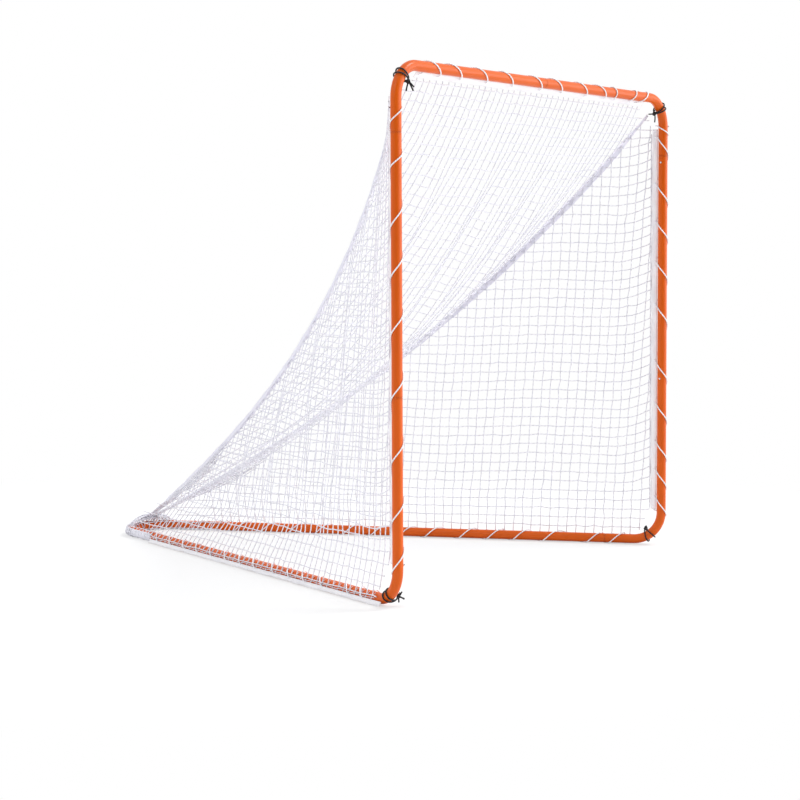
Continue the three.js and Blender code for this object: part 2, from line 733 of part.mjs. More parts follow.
// A seam tape: an angle section that covers the borders of both nets
function seamTape() {
  const stations = [{ ...wings[0], at: seamTop, wing: seamTapeEndWing }];
  wings.forEach((station, index) => {
    const isEnd = index === netCells;
    const isStart = index === 0;
    const wing = isEnd || isStart ? seamTapeEndWing * 2 : seamTapeWidth / 2;
    stations.push({ ...station, wing });
  });
  const positions = [];
  const indices = [];
  const corners = 6;
  stations.forEach(({ at, way, side, back, wing }) => {
    const awayFrom = (own, other) => {
      const away = own.clone().multiplyScalar(own.dot(other)).sub(other);
      return away.addScaledVector(way, -away.dot(way)).normalize();
    };
    const sideOut = awayFrom(side, back);
    const backOut = awayFrom(back, side);
    const halfAngle = side.angleTo(back) / 2;
    const spine = side.clone().add(back).normalize().negate();
    const inner = seamTapeClearance;
    const outer = seamTapeClearance + seamTapeThickness;
    const spineAt = (offset) => at.clone().addScaledVector(spine, offset / Math.sin(halfAngle));
    const wingAt = (wingWay, out, offset) => at.clone().addScaledVector(wingWay, wing).addScaledVector(out, offset);
    [
      wingAt(side, sideOut, inner),
      spineAt(inner),
      wingAt(back, backOut, inner),
      wingAt(back, backOut, outer),
      spineAt(outer),
      wingAt(side, sideOut, outer),
    ].forEach((point) => positions.push(point.x, point.y, point.z));
  });
  for (let ring = 0; ring < stations.length - 1; ring += 1) {
    for (let corner = 0; corner < corners; corner += 1) {
      const next = (corner + 1) % corners;
      const low = ring * corners;
      const high = low + corners;
      const isOuterFace = corner > 2;
      if (isOuterFace) {
        indices.push(low + corner, low + next, high + corner, low + next, high + next, high + corner);
      } else {
        indices.push(low + corner, low + next, high + next, low + corner, high + next, high + corner);
      }
    }
  }
  const cap = (base, flip) => [[0, 1, 4], [0, 4, 5], [1, 2, 3], [1, 3, 4]].forEach((triangle) => {
    const [a, b, c] = triangle.map((corner) => base + corner);
    indices.push(a, flip ? c : b, flip ? b : c);
  });
  cap(0, true);
  cap((stations.length - 1) * corners, false);
  const geometry = new THREE.BufferGeometry();
  geometry.setAttribute("position", new THREE.Float32BufferAttribute(positions, 3));
  geometry.setIndex(indices);
  const loose = geometry.toNonIndexed();
  loose.computeVertexNormals();
  return loose;
}

// A bend's centre line runs a little nearer to its centre between two stations
function facetedRadius(angle) {
  const facet = Math.PI / 2 / cornerBendSteps;
  const fromMiddle = (angle % facet) - facet / 2;
  return (cornerBendRadius * Math.cos(facet / 2)) / Math.cos(fromMiddle);
}

// A black tie: two loops round a bend and the net's corner strand, with two tails
function tieGeometry(centre, tubeWay, strandPoint, tailWays, slack) {
  const reach = strandPoint.clone().sub(centre);
  reach.addScaledVector(tubeWay, -reach.dot(tubeWay));
  const distance = reach.length() + cordDiameter * 1.7;
  const toward = reach.normalize();
  const aside = new THREE.Vector3().crossVectors(tubeWay, toward);
  const loops = 2;
  const halfEnd = cordDiameter * 1.45;
  const rise = cordDiameter * 1.7;
  const radius = lacingRadius + slack;
  const loop = [{ flat: [distance, -halfEnd] }, { flat: [distance, halfEnd] }];
  [1, 2, 3, 4, 5].forEach((step) => {
    const angle = (step * fullTurn) / stepsPerTurn;
    loop.push({ flat: [radius * Math.cos(angle), radius * Math.sin(angle)] });
  });
  const points = [];
  for (let turn = 0; turn < loops; turn += 1) {
    loop.forEach(({ flat }, index) => {
      const along = rise * (turn + index / loop.length - loops / 2);
      points.push(centre.clone()
        .addScaledVector(toward, flat[0])
        .addScaledVector(aside, flat[1])
        .addScaledVector(tubeWay, along));
    });
  }
  points.unshift(points[0].clone().add(tailWays[0]));
  points.push(centre.clone()
    .addScaledVector(toward, distance)
    .addScaledVector(aside, -halfEnd * 2)
    .addScaledVector(tubeWay, (rise * loops) / 2));
  points.push(points[points.length - 1].clone().add(tailWays[1]));
  return { points, sides: points.map(() => tubeWay) };
}

// The tail of the net: a sleeve wrapped round the rear bend and the bunch that leads up to the seams
function rearGather() {
  const sleeveOuter = railHeight / flatShare - fitGap * 2;
  const sleeveInner = tubeRadius + fitGap * 2;
  const arc = rearBend.slice(1, -1);
  const sleeve = new THREE.ExtrudeGeometry(ringShape(sleeveOuter, sleeveInner, tubeSides), {
    steps: arc.length - 1,
    extrudePath: new SteppedPath(arc),
  });
  const seams = new THREE.Vector3(0, seamNodes[netCells].y, seamNodes[netCells].z);
  const tip = new THREE.Vector3(0, rearTip, railHeight);
  const toTip = tip.clone().sub(seams);
  const reach = toTip.length();
  toTip.normalize();
  const bunchStart = hemWidth * 0.6;
  const bunchEnd = reach - (sleeveInner + sleeveOuter) / 2;
  const bunch = new THREE.CylinderGeometry(hemWidth * 0.3, hemWidth * 0.36, bunchEnd - bunchStart, 8);
  bunch.scale(2, 1, 1 / 2);
  const place = seams.clone().addScaledVector(toTip, (bunchStart + bunchEnd) / 2);
  const side = new THREE.Vector3().crossVectors(across, toTip);
  bunch.applyMatrix4(frameMatrix(across, toTip.clone().negate(), side.negate(), place));
  return geometryOf(solidOf(sleeve).add(solidOf(bunch)));
}

// Materials
const material = (color, roughness, metalness) => new THREE.MeshStandardMaterial({ color, roughness, metalness });
const coat = material(coatColour, 0.38, 0);
const steel = material(steelColour, 0.3, 1);
const springSteel = material(springColour, 0.4, 1);
const netting = material(netColour, 0.85, 0);
const tape = material(tapeColour, 0.85, 0);
const lace = material(cordColour, 0.8, 0);
const blackCord = material(tieColour, 0.75, 0);

// Assembly: the right half is built once and the left half is its mirror image
const goal = new THREE.Group();
goal.name = "lacrosse_goal";
goal.position.y = -(overallDepth / 2 - tubeRadius);
const rightHalf = new THREE.Group();
const leftHalf = new THREE.Group();
leftHalf.scale.x = -1;
goal.add(rightHalf, leftHalf);

function piece(parent, name, geometry, look, matrix) {
  const mesh = new THREE.Mesh(geometry, look);
  mesh.name = name;
  if (matrix) mesh.applyMatrix4(matrix);
  parent.add(mesh);
  return mesh;
}

function onBothSides(nameOf, geometry, look, matrix) {
  piece(rightHalf, nameOf("right"), geometry, look, matrix);
  piece(leftHalf, nameOf("left"), geometry, look, matrix);
}

// Top corners: half of the crossbar, the bend and a short leg
const topBendCentre = new THREE.Vector3(postX - cornerBendRadius, 0, bendTopHeight);
const topBend = bendStations(topBendCentre, across, down, cornerBendRadius, cornerBendSteps);
const legEnd = new THREE.Vector3(postX, 0, upperSeamHeight);
const crossbarMiddle = new THREE.Vector3(0, 0, crossbarHeight);
const topRight = drilled(
  drilled(bentTube(crossbarMiddle, topBend, legEnd, [true, false]), crossbarJoint),
  sideJoints.upper,
);
const mirroredCrossbarJoint = { ...crossbarJoint, into: across };
const topLeft = drilled(
  drilled(
    bentTube(new THREE.Vector3(seamGap, 0, crossbarHeight), topBend, legEnd, [false]),
    mirroredCrossbarJoint,
  ),
  sideJoints.upper,
);
piece(rightHalf, "top_right_corner_tube", geometryOf(topRight), coat);
piece(leftHalf, "top_left_corner_tube", geometryOf(topLeft), coat);

// Posts and rails: straight tubes, plugged in at one end and open at the other
function drilledStraight(length, matrix, joints) {
  const solid = solidOf(straightTube(length).applyMatrix4(matrix));
  return geometryOf(joints.reduce(drilled, solid));
}
const postMatrix = axisMatrix(up, backward, sideJoints.lower.seam);
const postTube = drilledStraight(postTubeLength - seamGap, postMatrix, [sideJoints.upper, sideJoints.lower]);
onBothSides((side) => side + "_post_tube", postTube, coat);
const frontRailMatrix = axisMatrix(railWay, up, sideJoints.front.seam);
const frontRail = drilledStraight(railTubeLength - seamGap, frontRailMatrix, [sideJoints.front, sideJoints.middle]);
onBothSides((side) => side + "_front_rail_tube", frontRail, coat);
const rearRailMatrix = axisMatrix(railWay, up, sideJoints.middle.seam);
const rearRail = drilledStraight(railTubeLength - seamGap, rearRailMatrix, [sideJoints.middle, sideJoints.rear]);
onBothSides((side) => side + "_rear_rail_tube", rearRail, coat);

// Bottom corners: lower post, foot bend and a stub of rail
const footBend = bendStations(
  besideRail(cornerBendRadius, 0, bendFootHeight),
  down,
  railWay,
  cornerBendRadius,
  cornerBendSteps,
);
const bottomCorner = [sideJoints.lower, sideJoints.front].reduce(drilled, bentTube(
  new THREE.Vector3(postX, 0, lowerSeamHeight - seamGap),
  footBend,
  besideRail(railStubToSeam - seamGap, 0, railHeight),
  [],
));
onBothSides((side) => "bottom_" + side + "_corner_tube", geometryOf(bottomCorner), coat);

// The rear V
const leftRailWay = new THREE.Vector3(railWay.x, -railWay.y, 0);
const rearBend = bendStations(rearBendCentre, railWay, leftRailWay, rearBendRadius, rearBendSteps);
const rearStart = sideJoints.rear.seam;
const rearFinish = new THREE.Vector3(-rearStart.x, rearStart.y, rearStart.z);
const mirroredRear = {
  seam: rearFinish,
  into: new THREE.Vector3(-towardPost.x, towardPost.y, 0),
  out: up,
};
const rearApex = [sideJoints.rear, mirroredRear].reduce(
  drilled,
  bentTube(rearStart, rearBend, rearFinish, [true, false]),
);
piece(goal, "rear_apex_tube", geometryOf(rearApex), coat);

// Snap buttons and springs at the eleven joints
const button = snapButton();
const spring = leafSpring();
Object.entries(sideJoints).forEach(([name, joint]) => {
  onBothSides((side) => side + "_" + name + "_snap_button", button, steel, jointMatrix(joint));
  onBothSides((side) => side + "_" + name + "_button_spring", spring, springSteel, jointMatrix(joint));
});
piece(goal, "crossbar_snap_button", button, steel, jointMatrix(crossbarJoint));
piece(goal, "crossbar_button_spring", spring, springSteel, jointMatrix(crossbarJoint));

// Lacing and hems of the crossbar and the posts
const plainRadii = Array.from({ length: stepsPerTurn }, () => lacingRadius);
const pierced = lacingHoleDistance / halfStepShare;
const postRadii = plainRadii.map((radius, step) => (step === 0 || step === stepsPerTurn - 1 ? pierced : radius));
const halfStep = 1 / 2;
// The way that each lacing winds round its tube on the right of the goal
const rightHanded = 1;
const leftHanded = -1;

function straightLacing(origin, way, hemSide, hand, start, pitch, turns) {
  return lacingRun({
    origin,
    way,
    hemSide,
    hand,
    start,
    pitch,
    turns,
    startStep: halfStep,
    ringStart: 0,
    radii: postRadii,
  });
}

const halfCrossbarHem = postX - cornerBendRadius - hemWidth;
const crossbarTurns = Math.round((halfCrossbarHem * 2) / crossbarTurn);
const crossbarLacing = straightLacing(
  new THREE.Vector3(0, 0, crossbarHeight),
  across,
  crossbarHemWay,
  rightHanded,
  -(crossbarTurns * crossbarTurn) / 2,
  crossbarTurn,
  crossbarTurns,
);
const postTurns = Math.floor((postHemTop - postHemFoot - hemWidth) / postTurn);
const postLacing = straightLacing(
  new THREE.Vector3(postX, 0, 0),
  up,
  railWay,
  leftHanded,
  postHemFoot + hemWidth,
  postTurn,
  postTurns,
);
const wrapPieces = [];
const atWay = (way, distance) => way.clone().multiplyScalar(distance);
piece(goal, "crossbar_hem", hemGeometry(
  new THREE.Vector3(-halfCrossbarHem, 0, crossbarHeight),
  new THREE.Vector3(halfCrossbarHem, 0, crossbarHeight),
  atWay(crossbarHemWay, hemInner),
  atWay(crossbarHemWay, hemOuter),
  hemCrossings(crossbarLacing, stepsPerTurn - 1),
), tape);
onBothSides((side) => side + "_post_hem", hemGeometry(
  new THREE.Vector3(postX, 0, postHemFoot),
  new THREE.Vector3(postX, 0, postHemTop),
  atWay(railWay, hemInner),
  atWay(railWay, hemOuter),
  hemCrossings(postLacing, stepsPerTurn - 1),
), tape);
wrapPieces.push(["crossbar_lacing", crossbarLacing], ["post_lacing", postLacing]);

// Lacing and hem of a rail: the hem lies against the outer side of the tube and down to the ground
const railLacingStart = cornerBendRadius + hemWidth * 1.84;
const railTurns = Math.floor((rearSeam - railLacingStart) / railTurn) - 1;
const railRadii = plainRadii.map((radius, step) => {
  if (step === 0) return tubeRadius + hemWidth * 0.48;
  return step === stepsPerTurn - 1 ? tubeRadius + hemWidth * 0.32 : radius;
});
const railLacing = lacingRun({
  origin: new THREE.Vector3(postX, 0, railHeight),
  way: railWay,
  hemSide: outward,
  hand: rightHanded,
  start: railLacingStart,
  pitch: railTurn,
  turns: railTurns,
  startStep: 0,
  ringStart: 0,
  radii: railRadii,
});
wrapPieces.push(["rail_lacing", railLacing]);
const railHemTop = new THREE.Vector3(0, 0, railHeight * 0.16).addScaledVector(outward, railNetOut);
const railHemFoot = new THREE.Vector3(0, 0, -railHeight + hemThickness * 1.4).addScaledVector(outward, railNetOut * 1.5);
onBothSides((side) => side + "_rail_hem", hemGeometry(
  besideRail(hemWidth * 3, 0, railHeight),
  besideRail(railLacingStart + hemWidth + railTurn * railTurns, 0, railHeight),
  railHemTop,
  railHemFoot,
  hemCrossings(railLacing, 0),
), tape);

// Each lacing is one unbroken cord, cut flat where it lies on the ground
const underground = new THREE.BoxGeometry(overallDepth * 3, overallDepth * 3, tubeDiameter);
underground.translate(0, 0, -tubeDiameter / 2);
wrapPieces.forEach(([name, run]) => {
  const gap = leastGap(run.points, 2, cordHalfFlat * Math.SQRT2);
  console.log(name + ": least gap to itself " + gap.toFixed(1) + " mm");
  const cord = cordGeometry(run.points, run.sides, cordHalfFlat, run.hand);
  if (name === "crossbar_lacing") {
    piece(goal, name, cord, lace);
    return;
  }
  const isRail = name === "rail_lacing";
  const shown = isRail ? geometryOf(solidOf(cord).subtract(solidOf(underground))) : cord;
  onBothSides((side) => side + "_" + name, shown, lace);
});

// Netting
onBothSides((side) => side + "_side_net", sideNet(), netting);
piece(goal, "back_net", backNet(), netting);
onBothSides((side) => side + "_seam_tape", seamTape(), tape);
piece(goal, "rear_net_gather", rearGather(), netting);

// Corner ties
const topStrand = seamNodes[0].clone().addScaledVector(wings[0].side, netInset).lerp(topPostNode, 1 / 2);
const topTieAngle = Math.atan2(topStrand.z - topBendCentre.z, topStrand.x - topBendCentre.x);
const topTieSide = new THREE.Vector3(Math.cos(topTieAngle), 0, Math.sin(topTieAngle));
const footStrand = lowPostNode.clone().lerp(footNode, 1 / 2);
const footCentre = besideRail(cornerBendRadius, 0, bendFootHeight);
const footFrom = railCoordinates(footStrand);
const footTieAngle = Math.atan2(bendFootHeight - footFrom.height, cornerBendRadius - footFrom.along);
const footTieSide = atWay(railWay, -Math.cos(footTieAngle)).addScaledVector(up, -Math.sin(footTieAngle));
const tailLength = cordDiameter * 11;
const topTie = tieGeometry(
  topBendCentre.clone().addScaledVector(topTieSide, facetedRadius(topTieAngle)),
  new THREE.Vector3(topTieSide.z, 0, -topTieSide.x),
  topStrand,
  [
    new THREE.Vector3(-0.5, 0.2, -0.8).multiplyScalar(tailLength),
    new THREE.Vector3(-0.75, 0.1, -0.6).multiplyScalar(tailLength),
  ],
  fitGap * 1.6,
);
const footTie = tieGeometry(
  footCentre.clone().addScaledVector(footTieSide, facetedRadius(footTieAngle)),
  new THREE.Vector3().crossVectors(footTieSide, outward),
  footStrand,
  [
    atWay(railWay, tailLength * 0.4).addScaledVector(outward, -tailLength * 0.6).addScaledVector(up, tailLength * 0.6),
    atWay(railWay, tailLength * 0.2).addScaledVector(outward, -tailLength * 0.8).addScaledVector(up, tailLength * 0.3),
  ],
  fitGap / 2,
);
[["top", topTie], ["bottom", footTie]].forEach(([place, tie]) => {
  const gap = leastGap(tie.points, 3, cordHalfFlat * Math.SQRT2);
  console.log(place + " tie: least gap to itself " + gap.toFixed(1) + " mm");
  onBothSides((side) => place + "_" + side + "_tie", cordGeometry(tie.points, tie.sides, cordHalfFlat), blackCord);
});

export default goal;
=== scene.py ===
# %% [markdown]
# # A portable lacrosse goal, dressed in Blender
# The goal is a frame of round steel tube with a white knotted net laced to it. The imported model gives
# the frame: where each tube, button, tape and cord is. This lesson keeps those places and gives every
# piece its real surface, from the powder coat on the tubes to the knots of the net. Every size is in
# metres, the mouth of the goal faces -Y, and the ground is at Z = 0.

import math

import bmesh
import bpy
import numpy as np
from mathutils import Matrix, Vector


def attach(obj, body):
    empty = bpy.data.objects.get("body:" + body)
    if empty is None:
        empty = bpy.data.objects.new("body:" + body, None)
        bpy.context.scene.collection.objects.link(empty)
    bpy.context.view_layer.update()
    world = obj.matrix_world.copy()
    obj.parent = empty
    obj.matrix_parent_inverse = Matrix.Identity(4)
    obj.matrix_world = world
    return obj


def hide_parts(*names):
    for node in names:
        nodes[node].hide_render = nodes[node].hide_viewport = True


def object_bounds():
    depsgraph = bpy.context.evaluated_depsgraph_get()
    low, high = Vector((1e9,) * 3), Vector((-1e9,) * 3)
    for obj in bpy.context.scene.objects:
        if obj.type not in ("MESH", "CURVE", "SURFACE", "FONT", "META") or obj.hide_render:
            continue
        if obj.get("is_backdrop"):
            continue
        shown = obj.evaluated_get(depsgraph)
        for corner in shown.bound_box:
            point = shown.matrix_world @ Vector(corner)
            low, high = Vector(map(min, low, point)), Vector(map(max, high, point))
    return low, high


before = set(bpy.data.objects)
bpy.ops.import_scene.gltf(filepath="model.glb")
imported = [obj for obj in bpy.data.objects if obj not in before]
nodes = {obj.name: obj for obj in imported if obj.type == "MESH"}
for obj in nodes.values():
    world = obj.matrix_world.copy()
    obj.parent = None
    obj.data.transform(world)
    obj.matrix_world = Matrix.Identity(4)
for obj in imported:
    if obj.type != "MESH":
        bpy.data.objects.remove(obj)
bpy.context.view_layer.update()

# %% [markdown]
# ## The camera
# The photograph was taken from beside the goal and from low down, so the near post stands in front of
# the net and the rear corner runs off to the left. The camera's place was worked out from the corners
# of the frame, whose real distances are known. A long lens keeps the uprights nearly parallel.

# %% Camera at the photograph's angle
camera = bpy.data.objects.new("camera", bpy.data.cameras.new("camera"))
bpy.context.scene.collection.objects.link(camera)
bpy.context.scene.camera = camera
camera.data.lens = 87.49
camera.data.sensor_width = 36.0
camera.data.clip_start = 0.1
camera.data.clip_end = 100.0
view_right = Vector((0.58889, -0.80820, -0.00421))
view_up = Vector((0.05836, 0.03733, 0.99760))
view_back = Vector((-0.80610, -0.58772, 0.06915))
turn = Matrix((view_right, view_up, view_back)).transposed().to_4x4()
camera.matrix_world = Matrix.Translation((-6.23754, -4.92720, 1.17182)) @ turn
print("camera is", round(camera.location.length, 2), "m from the middle of the goal")

# %% [markdown]
# ## Floor, backdrop and light
# A white net on a white ground is only seen by its shade, so the light has to be even and soft, and
# not too strong: a white thing should come out just under full white. A pale sky gives the even part.
# It is dimmer on the side that the photographer stands on, so the middle of a round tube goes deep in
# colour while its two edges catch the bright sides of the room. One broad sun from above gives the
# crossbar its highlight. The floor fades into the white backdrop a few metres out, so no edge shows
# behind the goal, and it keeps the goal's shadow.

# %% Small helpers for wiring nodes
def add_node(tree, kind, inputs=None, **settings):
    """A node of a kind, with its settings and its plain input values filled in."""
    node = tree.nodes.new(kind)
    for key, value in settings.items():
        setattr(node, key, value)
    for key, value in (inputs or {}).items():
        node.inputs[key].default_value = value
    return node


def wire(tree, *joins):
    """Links pairs of sockets: the one that gives and the one that takes."""
    for giver, taker in joins:
        tree.links.new(giver, taker)


def combined(tree, operation, first, second):
    """Two values added or multiplied."""
    node = add_node(tree, "ShaderNodeMath", operation=operation)
    wire(tree, (first, node.inputs[0]), (second, node.inputs[1]))
    return node.outputs["Value"]


def smooth_ramp(tree, source, low, high, first, last):
    """Goes smoothly from the first value to the last while the source goes from low to high."""
    ramp = add_node(tree, "ShaderNodeMapRange", interpolation_type="SMOOTHSTEP",
                    inputs={"From Min": low, "From Max": high, "To Min": first, "To Max": last})
    wire(tree, (source, ramp.inputs["Value"]))
    return ramp.outputs["Result"]


print("wiring helpers ready")

# %% Even sky, which shows as white behind the goal
scene = bpy.context.scene
scene.view_settings.view_transform = "Standard"
world = bpy.data.worlds.new("studio")
scene.world = world
world.use_nodes = True
sky = world.node_tree
sky.nodes.clear()
sky_strength = 0.90
dimmed_share = 0.15
side_box_strength = 2.6
full_white = {"Color": (1.0, 1.0, 1.0, 1.0), "Strength": 1.0}
sky_way = add_node(sky, "ShaderNodeTexCoord").outputs["Generated"]


def towards(direction, low, high, first, last):
    """A strength that goes from first to last as a way of looking turns towards a direction."""
    facing = add_node(sky, "ShaderNodeVectorMath", operation="DOT_PRODUCT")
    facing.inputs[1].default_value = direction
    wire(sky, (sky_way, facing.inputs[0]))
    return smooth_ramp(sky, facing.outputs["Value"], low, high, first, last)


dimmed = towards((-0.806, -0.588, 0.069), 0.35, 0.95, sky_strength, sky_strength * dimmed_share)
side_box = towards((0.589, -0.808, 0.0), 0.72, 0.95, 0.0, side_box_strength)
sky_light = add_node(sky, "ShaderNodeBackground", {"Color": (0.97, 0.98, 1.0, 1.0)})
sky_white = add_node(sky, "ShaderNodeBackground", full_white)
sky_mix = add_node(sky, "ShaderNodeMixShader")
camera_ray = add_node(sky, "ShaderNodeLightPath").outputs["Is Camera Ray"]
wire(sky, (combined(sky, "ADD", dimmed, side_box), sky_light.inputs["Strength"]),
     (camera_ray, sky_mix.inputs["Fac"]),
     (sky_light.outputs["Background"], sky_mix.inputs[1]),
     (sky_white.outputs["Background"], sky_mix.inputs[2]),
     (sky_mix.outputs["Shader"], add_node(sky, "ShaderNodeOutputWorld").inputs["Surface"]))
print("sky strength", sky_strength)

# %% Two broad suns: one from the front and right, a weak one from the other side
def broad_sun(name, direction, strength, width_degrees):
    """A sun that shines along a direction, with soft edges to its shadows."""
    lamp = bpy.data.lights.new(name, "SUN")
    lamp.energy = strength
    lamp.angle = math.radians(width_degrees)
    holder = bpy.data.objects.new(name, lamp)
    scene.collection.objects.link(holder)
    holder.rotation_mode = "QUATERNION"
    holder.rotation_quaternion = Vector(direction).to_track_quat("-Z", "Y")


broad_sun("key_light", (-0.45, 0.42, -0.79), 1.5, 22)
broad_sun("fill_light", (0.85, -0.10, -0.52), 0.62, 40)
print("two suns")

# %% Floor that fades into the white behind the goal
def fresh_material(name, inputs):
    """A material of one Principled shader with these plain values, ready to be wired."""
    made = bpy.data.materials.new(name)
    made.use_nodes = True
    tree = made.node_tree
    tree.nodes.clear()
    out = add_node(tree, "ShaderNodeOutputMaterial")
    skin = add_node(tree, "ShaderNodeBsdfPrincipled", inputs)
    wire(tree, (skin.outputs["BSDF"], out.inputs["Surface"]))
    return made, tree, skin


floor_radius = 14.0
fade_start, fade_end = 1.6, 3.2
floor_mesh = bpy.data.meshes.new("floor")
floor_ring = bmesh.new()
bmesh.ops.create_circle(floor_ring, cap_ends=True, segments=96, radius=floor_radius)
floor_ring.to_mesh(floor_mesh)
floor_ring.free()
floor = bpy.data.objects.new("floor", floor_mesh)
scene.collection.objects.link(floor)
floor.location = (0.0, 0.0, -0.0006)
floor_paint, tree, skin = fresh_material("floor_paint", {"Base Color": (0.86, 0.86, 0.86, 1.0), "Roughness": 0.9,
                                                         "Specular IOR Level": 0.1})
out = skin.outputs["BSDF"].links[0].to_node
distance = add_node(tree, "ShaderNodeVectorMath", operation="LENGTH")
wire(tree, (add_node(tree, "ShaderNodeTexCoord").outputs["Object"], distance.inputs[0]))
fade = smooth_ramp(tree, distance.outputs["Value"], fade_start, fade_end, 0.55, 1.0)
camera_ray = add_node(tree, "ShaderNodeLightPath").outputs["Is Camera Ray"]
white = add_node(tree, "ShaderNodeEmission", full_white)
mix = add_node(tree, "ShaderNodeMixShader")
wire(tree, (combined(tree, "MULTIPLY", fade, camera_ray), mix.inputs["Fac"]),
     (skin.outputs["BSDF"], mix.inputs[1]),
     (white.outputs["Emission"], mix.inputs[2]),
     (mix.outputs["Shader"], out.inputs["Surface"]))
floor_mesh.materials.append(floor_paint)
floor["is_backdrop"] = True
print("floor is", floor_radius * 2, "m across")

# %% [markdown]
# ## The shape of the frame
# The whole goal follows from a few sizes: the clear mouth, the depth, the tube and the radius of its
# bends. The rails turn inwards until they run into the rear bend, so their angle comes out of those
# sizes too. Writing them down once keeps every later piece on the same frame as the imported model.

# %% Sizes of the frame, in metres
tube_radius = 0.019
bore_radius = 0.0178
spigot_radius = 0.0173
spigot_bore = 0.0161
post_x = (1.829 + 0.038) / 2
crossbar_z = 1.829 + tube_radius
depth = 2.134
corner_bend = 0.115
rear_bend = 0.150
seam_upper = crossbar_z - 0.230
post_length, rail_length = 0.893, 0.910
seam_lower = seam_upper - post_length
seam_front, seam_middle, seam_rear = 0.235, 1.145, 2.055
seam_gap = 0.001
button_from_seam = 0.028
shift = Vector((0.0, -(depth / 2 - tube_radius), 0.0))
rear_tip = depth - 2 * tube_radius
turn_in = math.atan2(rear_bend - rear_tip, post_x)
rail_angle = turn_in + math.acos(rear_bend / math.hypot(post_x, rear_bend - rear_tip))
rail_way = Vector((-math.sin(rail_angle), math.cos(rail_angle), 0.0))
outward = Vector((math.cos(rail_angle), math.sin(rail_angle), 0.0))
rail_z = 0.0218945
up = Vector((0.0, 0.0, 1.0))
print("rails turn in by", round(math.degrees(rail_angle), 2), "degrees")


# %% A point beside the right rail: along it, out from it, and above the ground
def beside_rail(along, out, height):
    """A point of the right half, measured from the post's foot along the rail."""
    return Vector((post_x, 0.0, height)) + rail_way * along + outward * out + shift


print("rear joint at", [round(v, 3) for v in beside_rail(seam_rear, 0, rail_z)])

# %% [markdown]
# ## Powder coat
# Powder is sprayed on dry and baked, so the coat flows a little and sets with a fine orange peel. It is
# even in colour, fairly glossy, and it wears through first at the cut ends, where one tube plugs into
# the next. The bump comes from a very fine noise, the colour drifts a little over long distances, and a
# wear value stored on the mesh lets the darker metal show in specks beside each joint.

# %% Small helpers for the looks
def noise(tree, scale, detail=3.0, roughness=0.5):
    """Noise over the piece's own coordinates."""
    node = add_node(tree, "ShaderNodeTexNoise", {"Scale": scale, "Detail": detail, "Roughness": roughness})
    wire(tree, (add_node(tree, "ShaderNodeTexCoord").outputs["Object"], node.inputs["Vector"]))
    return node.outputs["Fac"]


def bands(tree, source, direction, scale, distortion):
    """Waves in bands over a coordinate."""
    wave = add_node(tree, "ShaderNodeTexWave", {"Scale": scale, "Distortion": distortion, "Detail": 1.0},
                    wave_type="BANDS", bands_direction=direction)
    wire(tree, (source, wave.inputs["Vector"]))
    return wave.outputs["Fac"]


def strand_place(tree):
    """The place on a tube or tape: along it and around or across it."""
    return add_node(tree, "ShaderNodeUVMap", uv_map="along_and_around").outputs["UV"]


def twist(tree, pitch, yarns, distortion):
    """Slanting bands round a strand, a pitch apart along it."""
    scaled = add_node(tree, "ShaderNodeVectorMath", operation="MULTIPLY")
    scaled.inputs[1].default_value = (1.0 / pitch, yarns, 1.0)
    wire(tree, (strand_place(tree), scaled.inputs[0]))
    return bands(tree, scaled.outputs["Vector"], "DIAGONAL", 0.31831, distortion)


def two_tone(tree, factor, low, high, first, second):
    """A colour ramp from one colour to another between two values of a factor."""
    node = tree.nodes.new("ShaderNodeValToRGB")
    for stop, position, colour in zip(node.color_ramp.elements, (low, high), (first, second)):
        stop.position = position
        stop.color = (*colour, 1.0)
    wire(tree, (factor, node.inputs["Fac"]))
    return node.outputs["Color"]


def spread(tree, factor, low, high):
    """Turns a value from 0 to 1 into one from low to high."""
    node = add_node(tree, "ShaderNodeMapRange", {"To Min": low, "To Max": high})
    wire(tree, (factor, node.inputs["Value"]))
    return node.outputs["Result"]


def surface_from(tree, skin, colour, gloss, height, strength, depth):
    """Feeds a colour, a roughness and a bump into the shader."""
    bump = add_node(tree, "ShaderNodeBump", {"Strength": strength, "Distance": depth})
    wire(tree, (colour, skin.inputs["Base Color"]), (height, bump.inputs["Height"]),
         (bump.outputs["Normal"], skin.inputs["Normal"]))
    if gloss is not None:
        wire(tree, (gloss, skin.inputs["Roughness"]))


def blend_colours(tree, factor, first, second, kind="MIX"):
    """Mixes two colours by a factor."""
    node = add_node(tree, "ShaderNodeMix", data_type="RGBA", blend_type=kind)
    for value, socket in ((factor, node.inputs[0]), (first, node.inputs[6]), (second, node.inputs[7])):
        if isinstance(value, (tuple, float)):
            socket.default_value = value
        else:
            wire(tree, (value, socket))
    return node.outputs[2]


def soiled(tree, clean, scale, dirt):
    """A clean colour that is a little dirty in soft patches, and the patches themselves."""
    patches = noise(tree, scale, 4.0)
    stain = two_tone(tree, patches, 0.35, 0.65, dirt, (1.0, 1.0, 1.0))
    return blend_colours(tree, 1.0, clean, stain, "MULTIPLY"), patches


print("helpers ready")

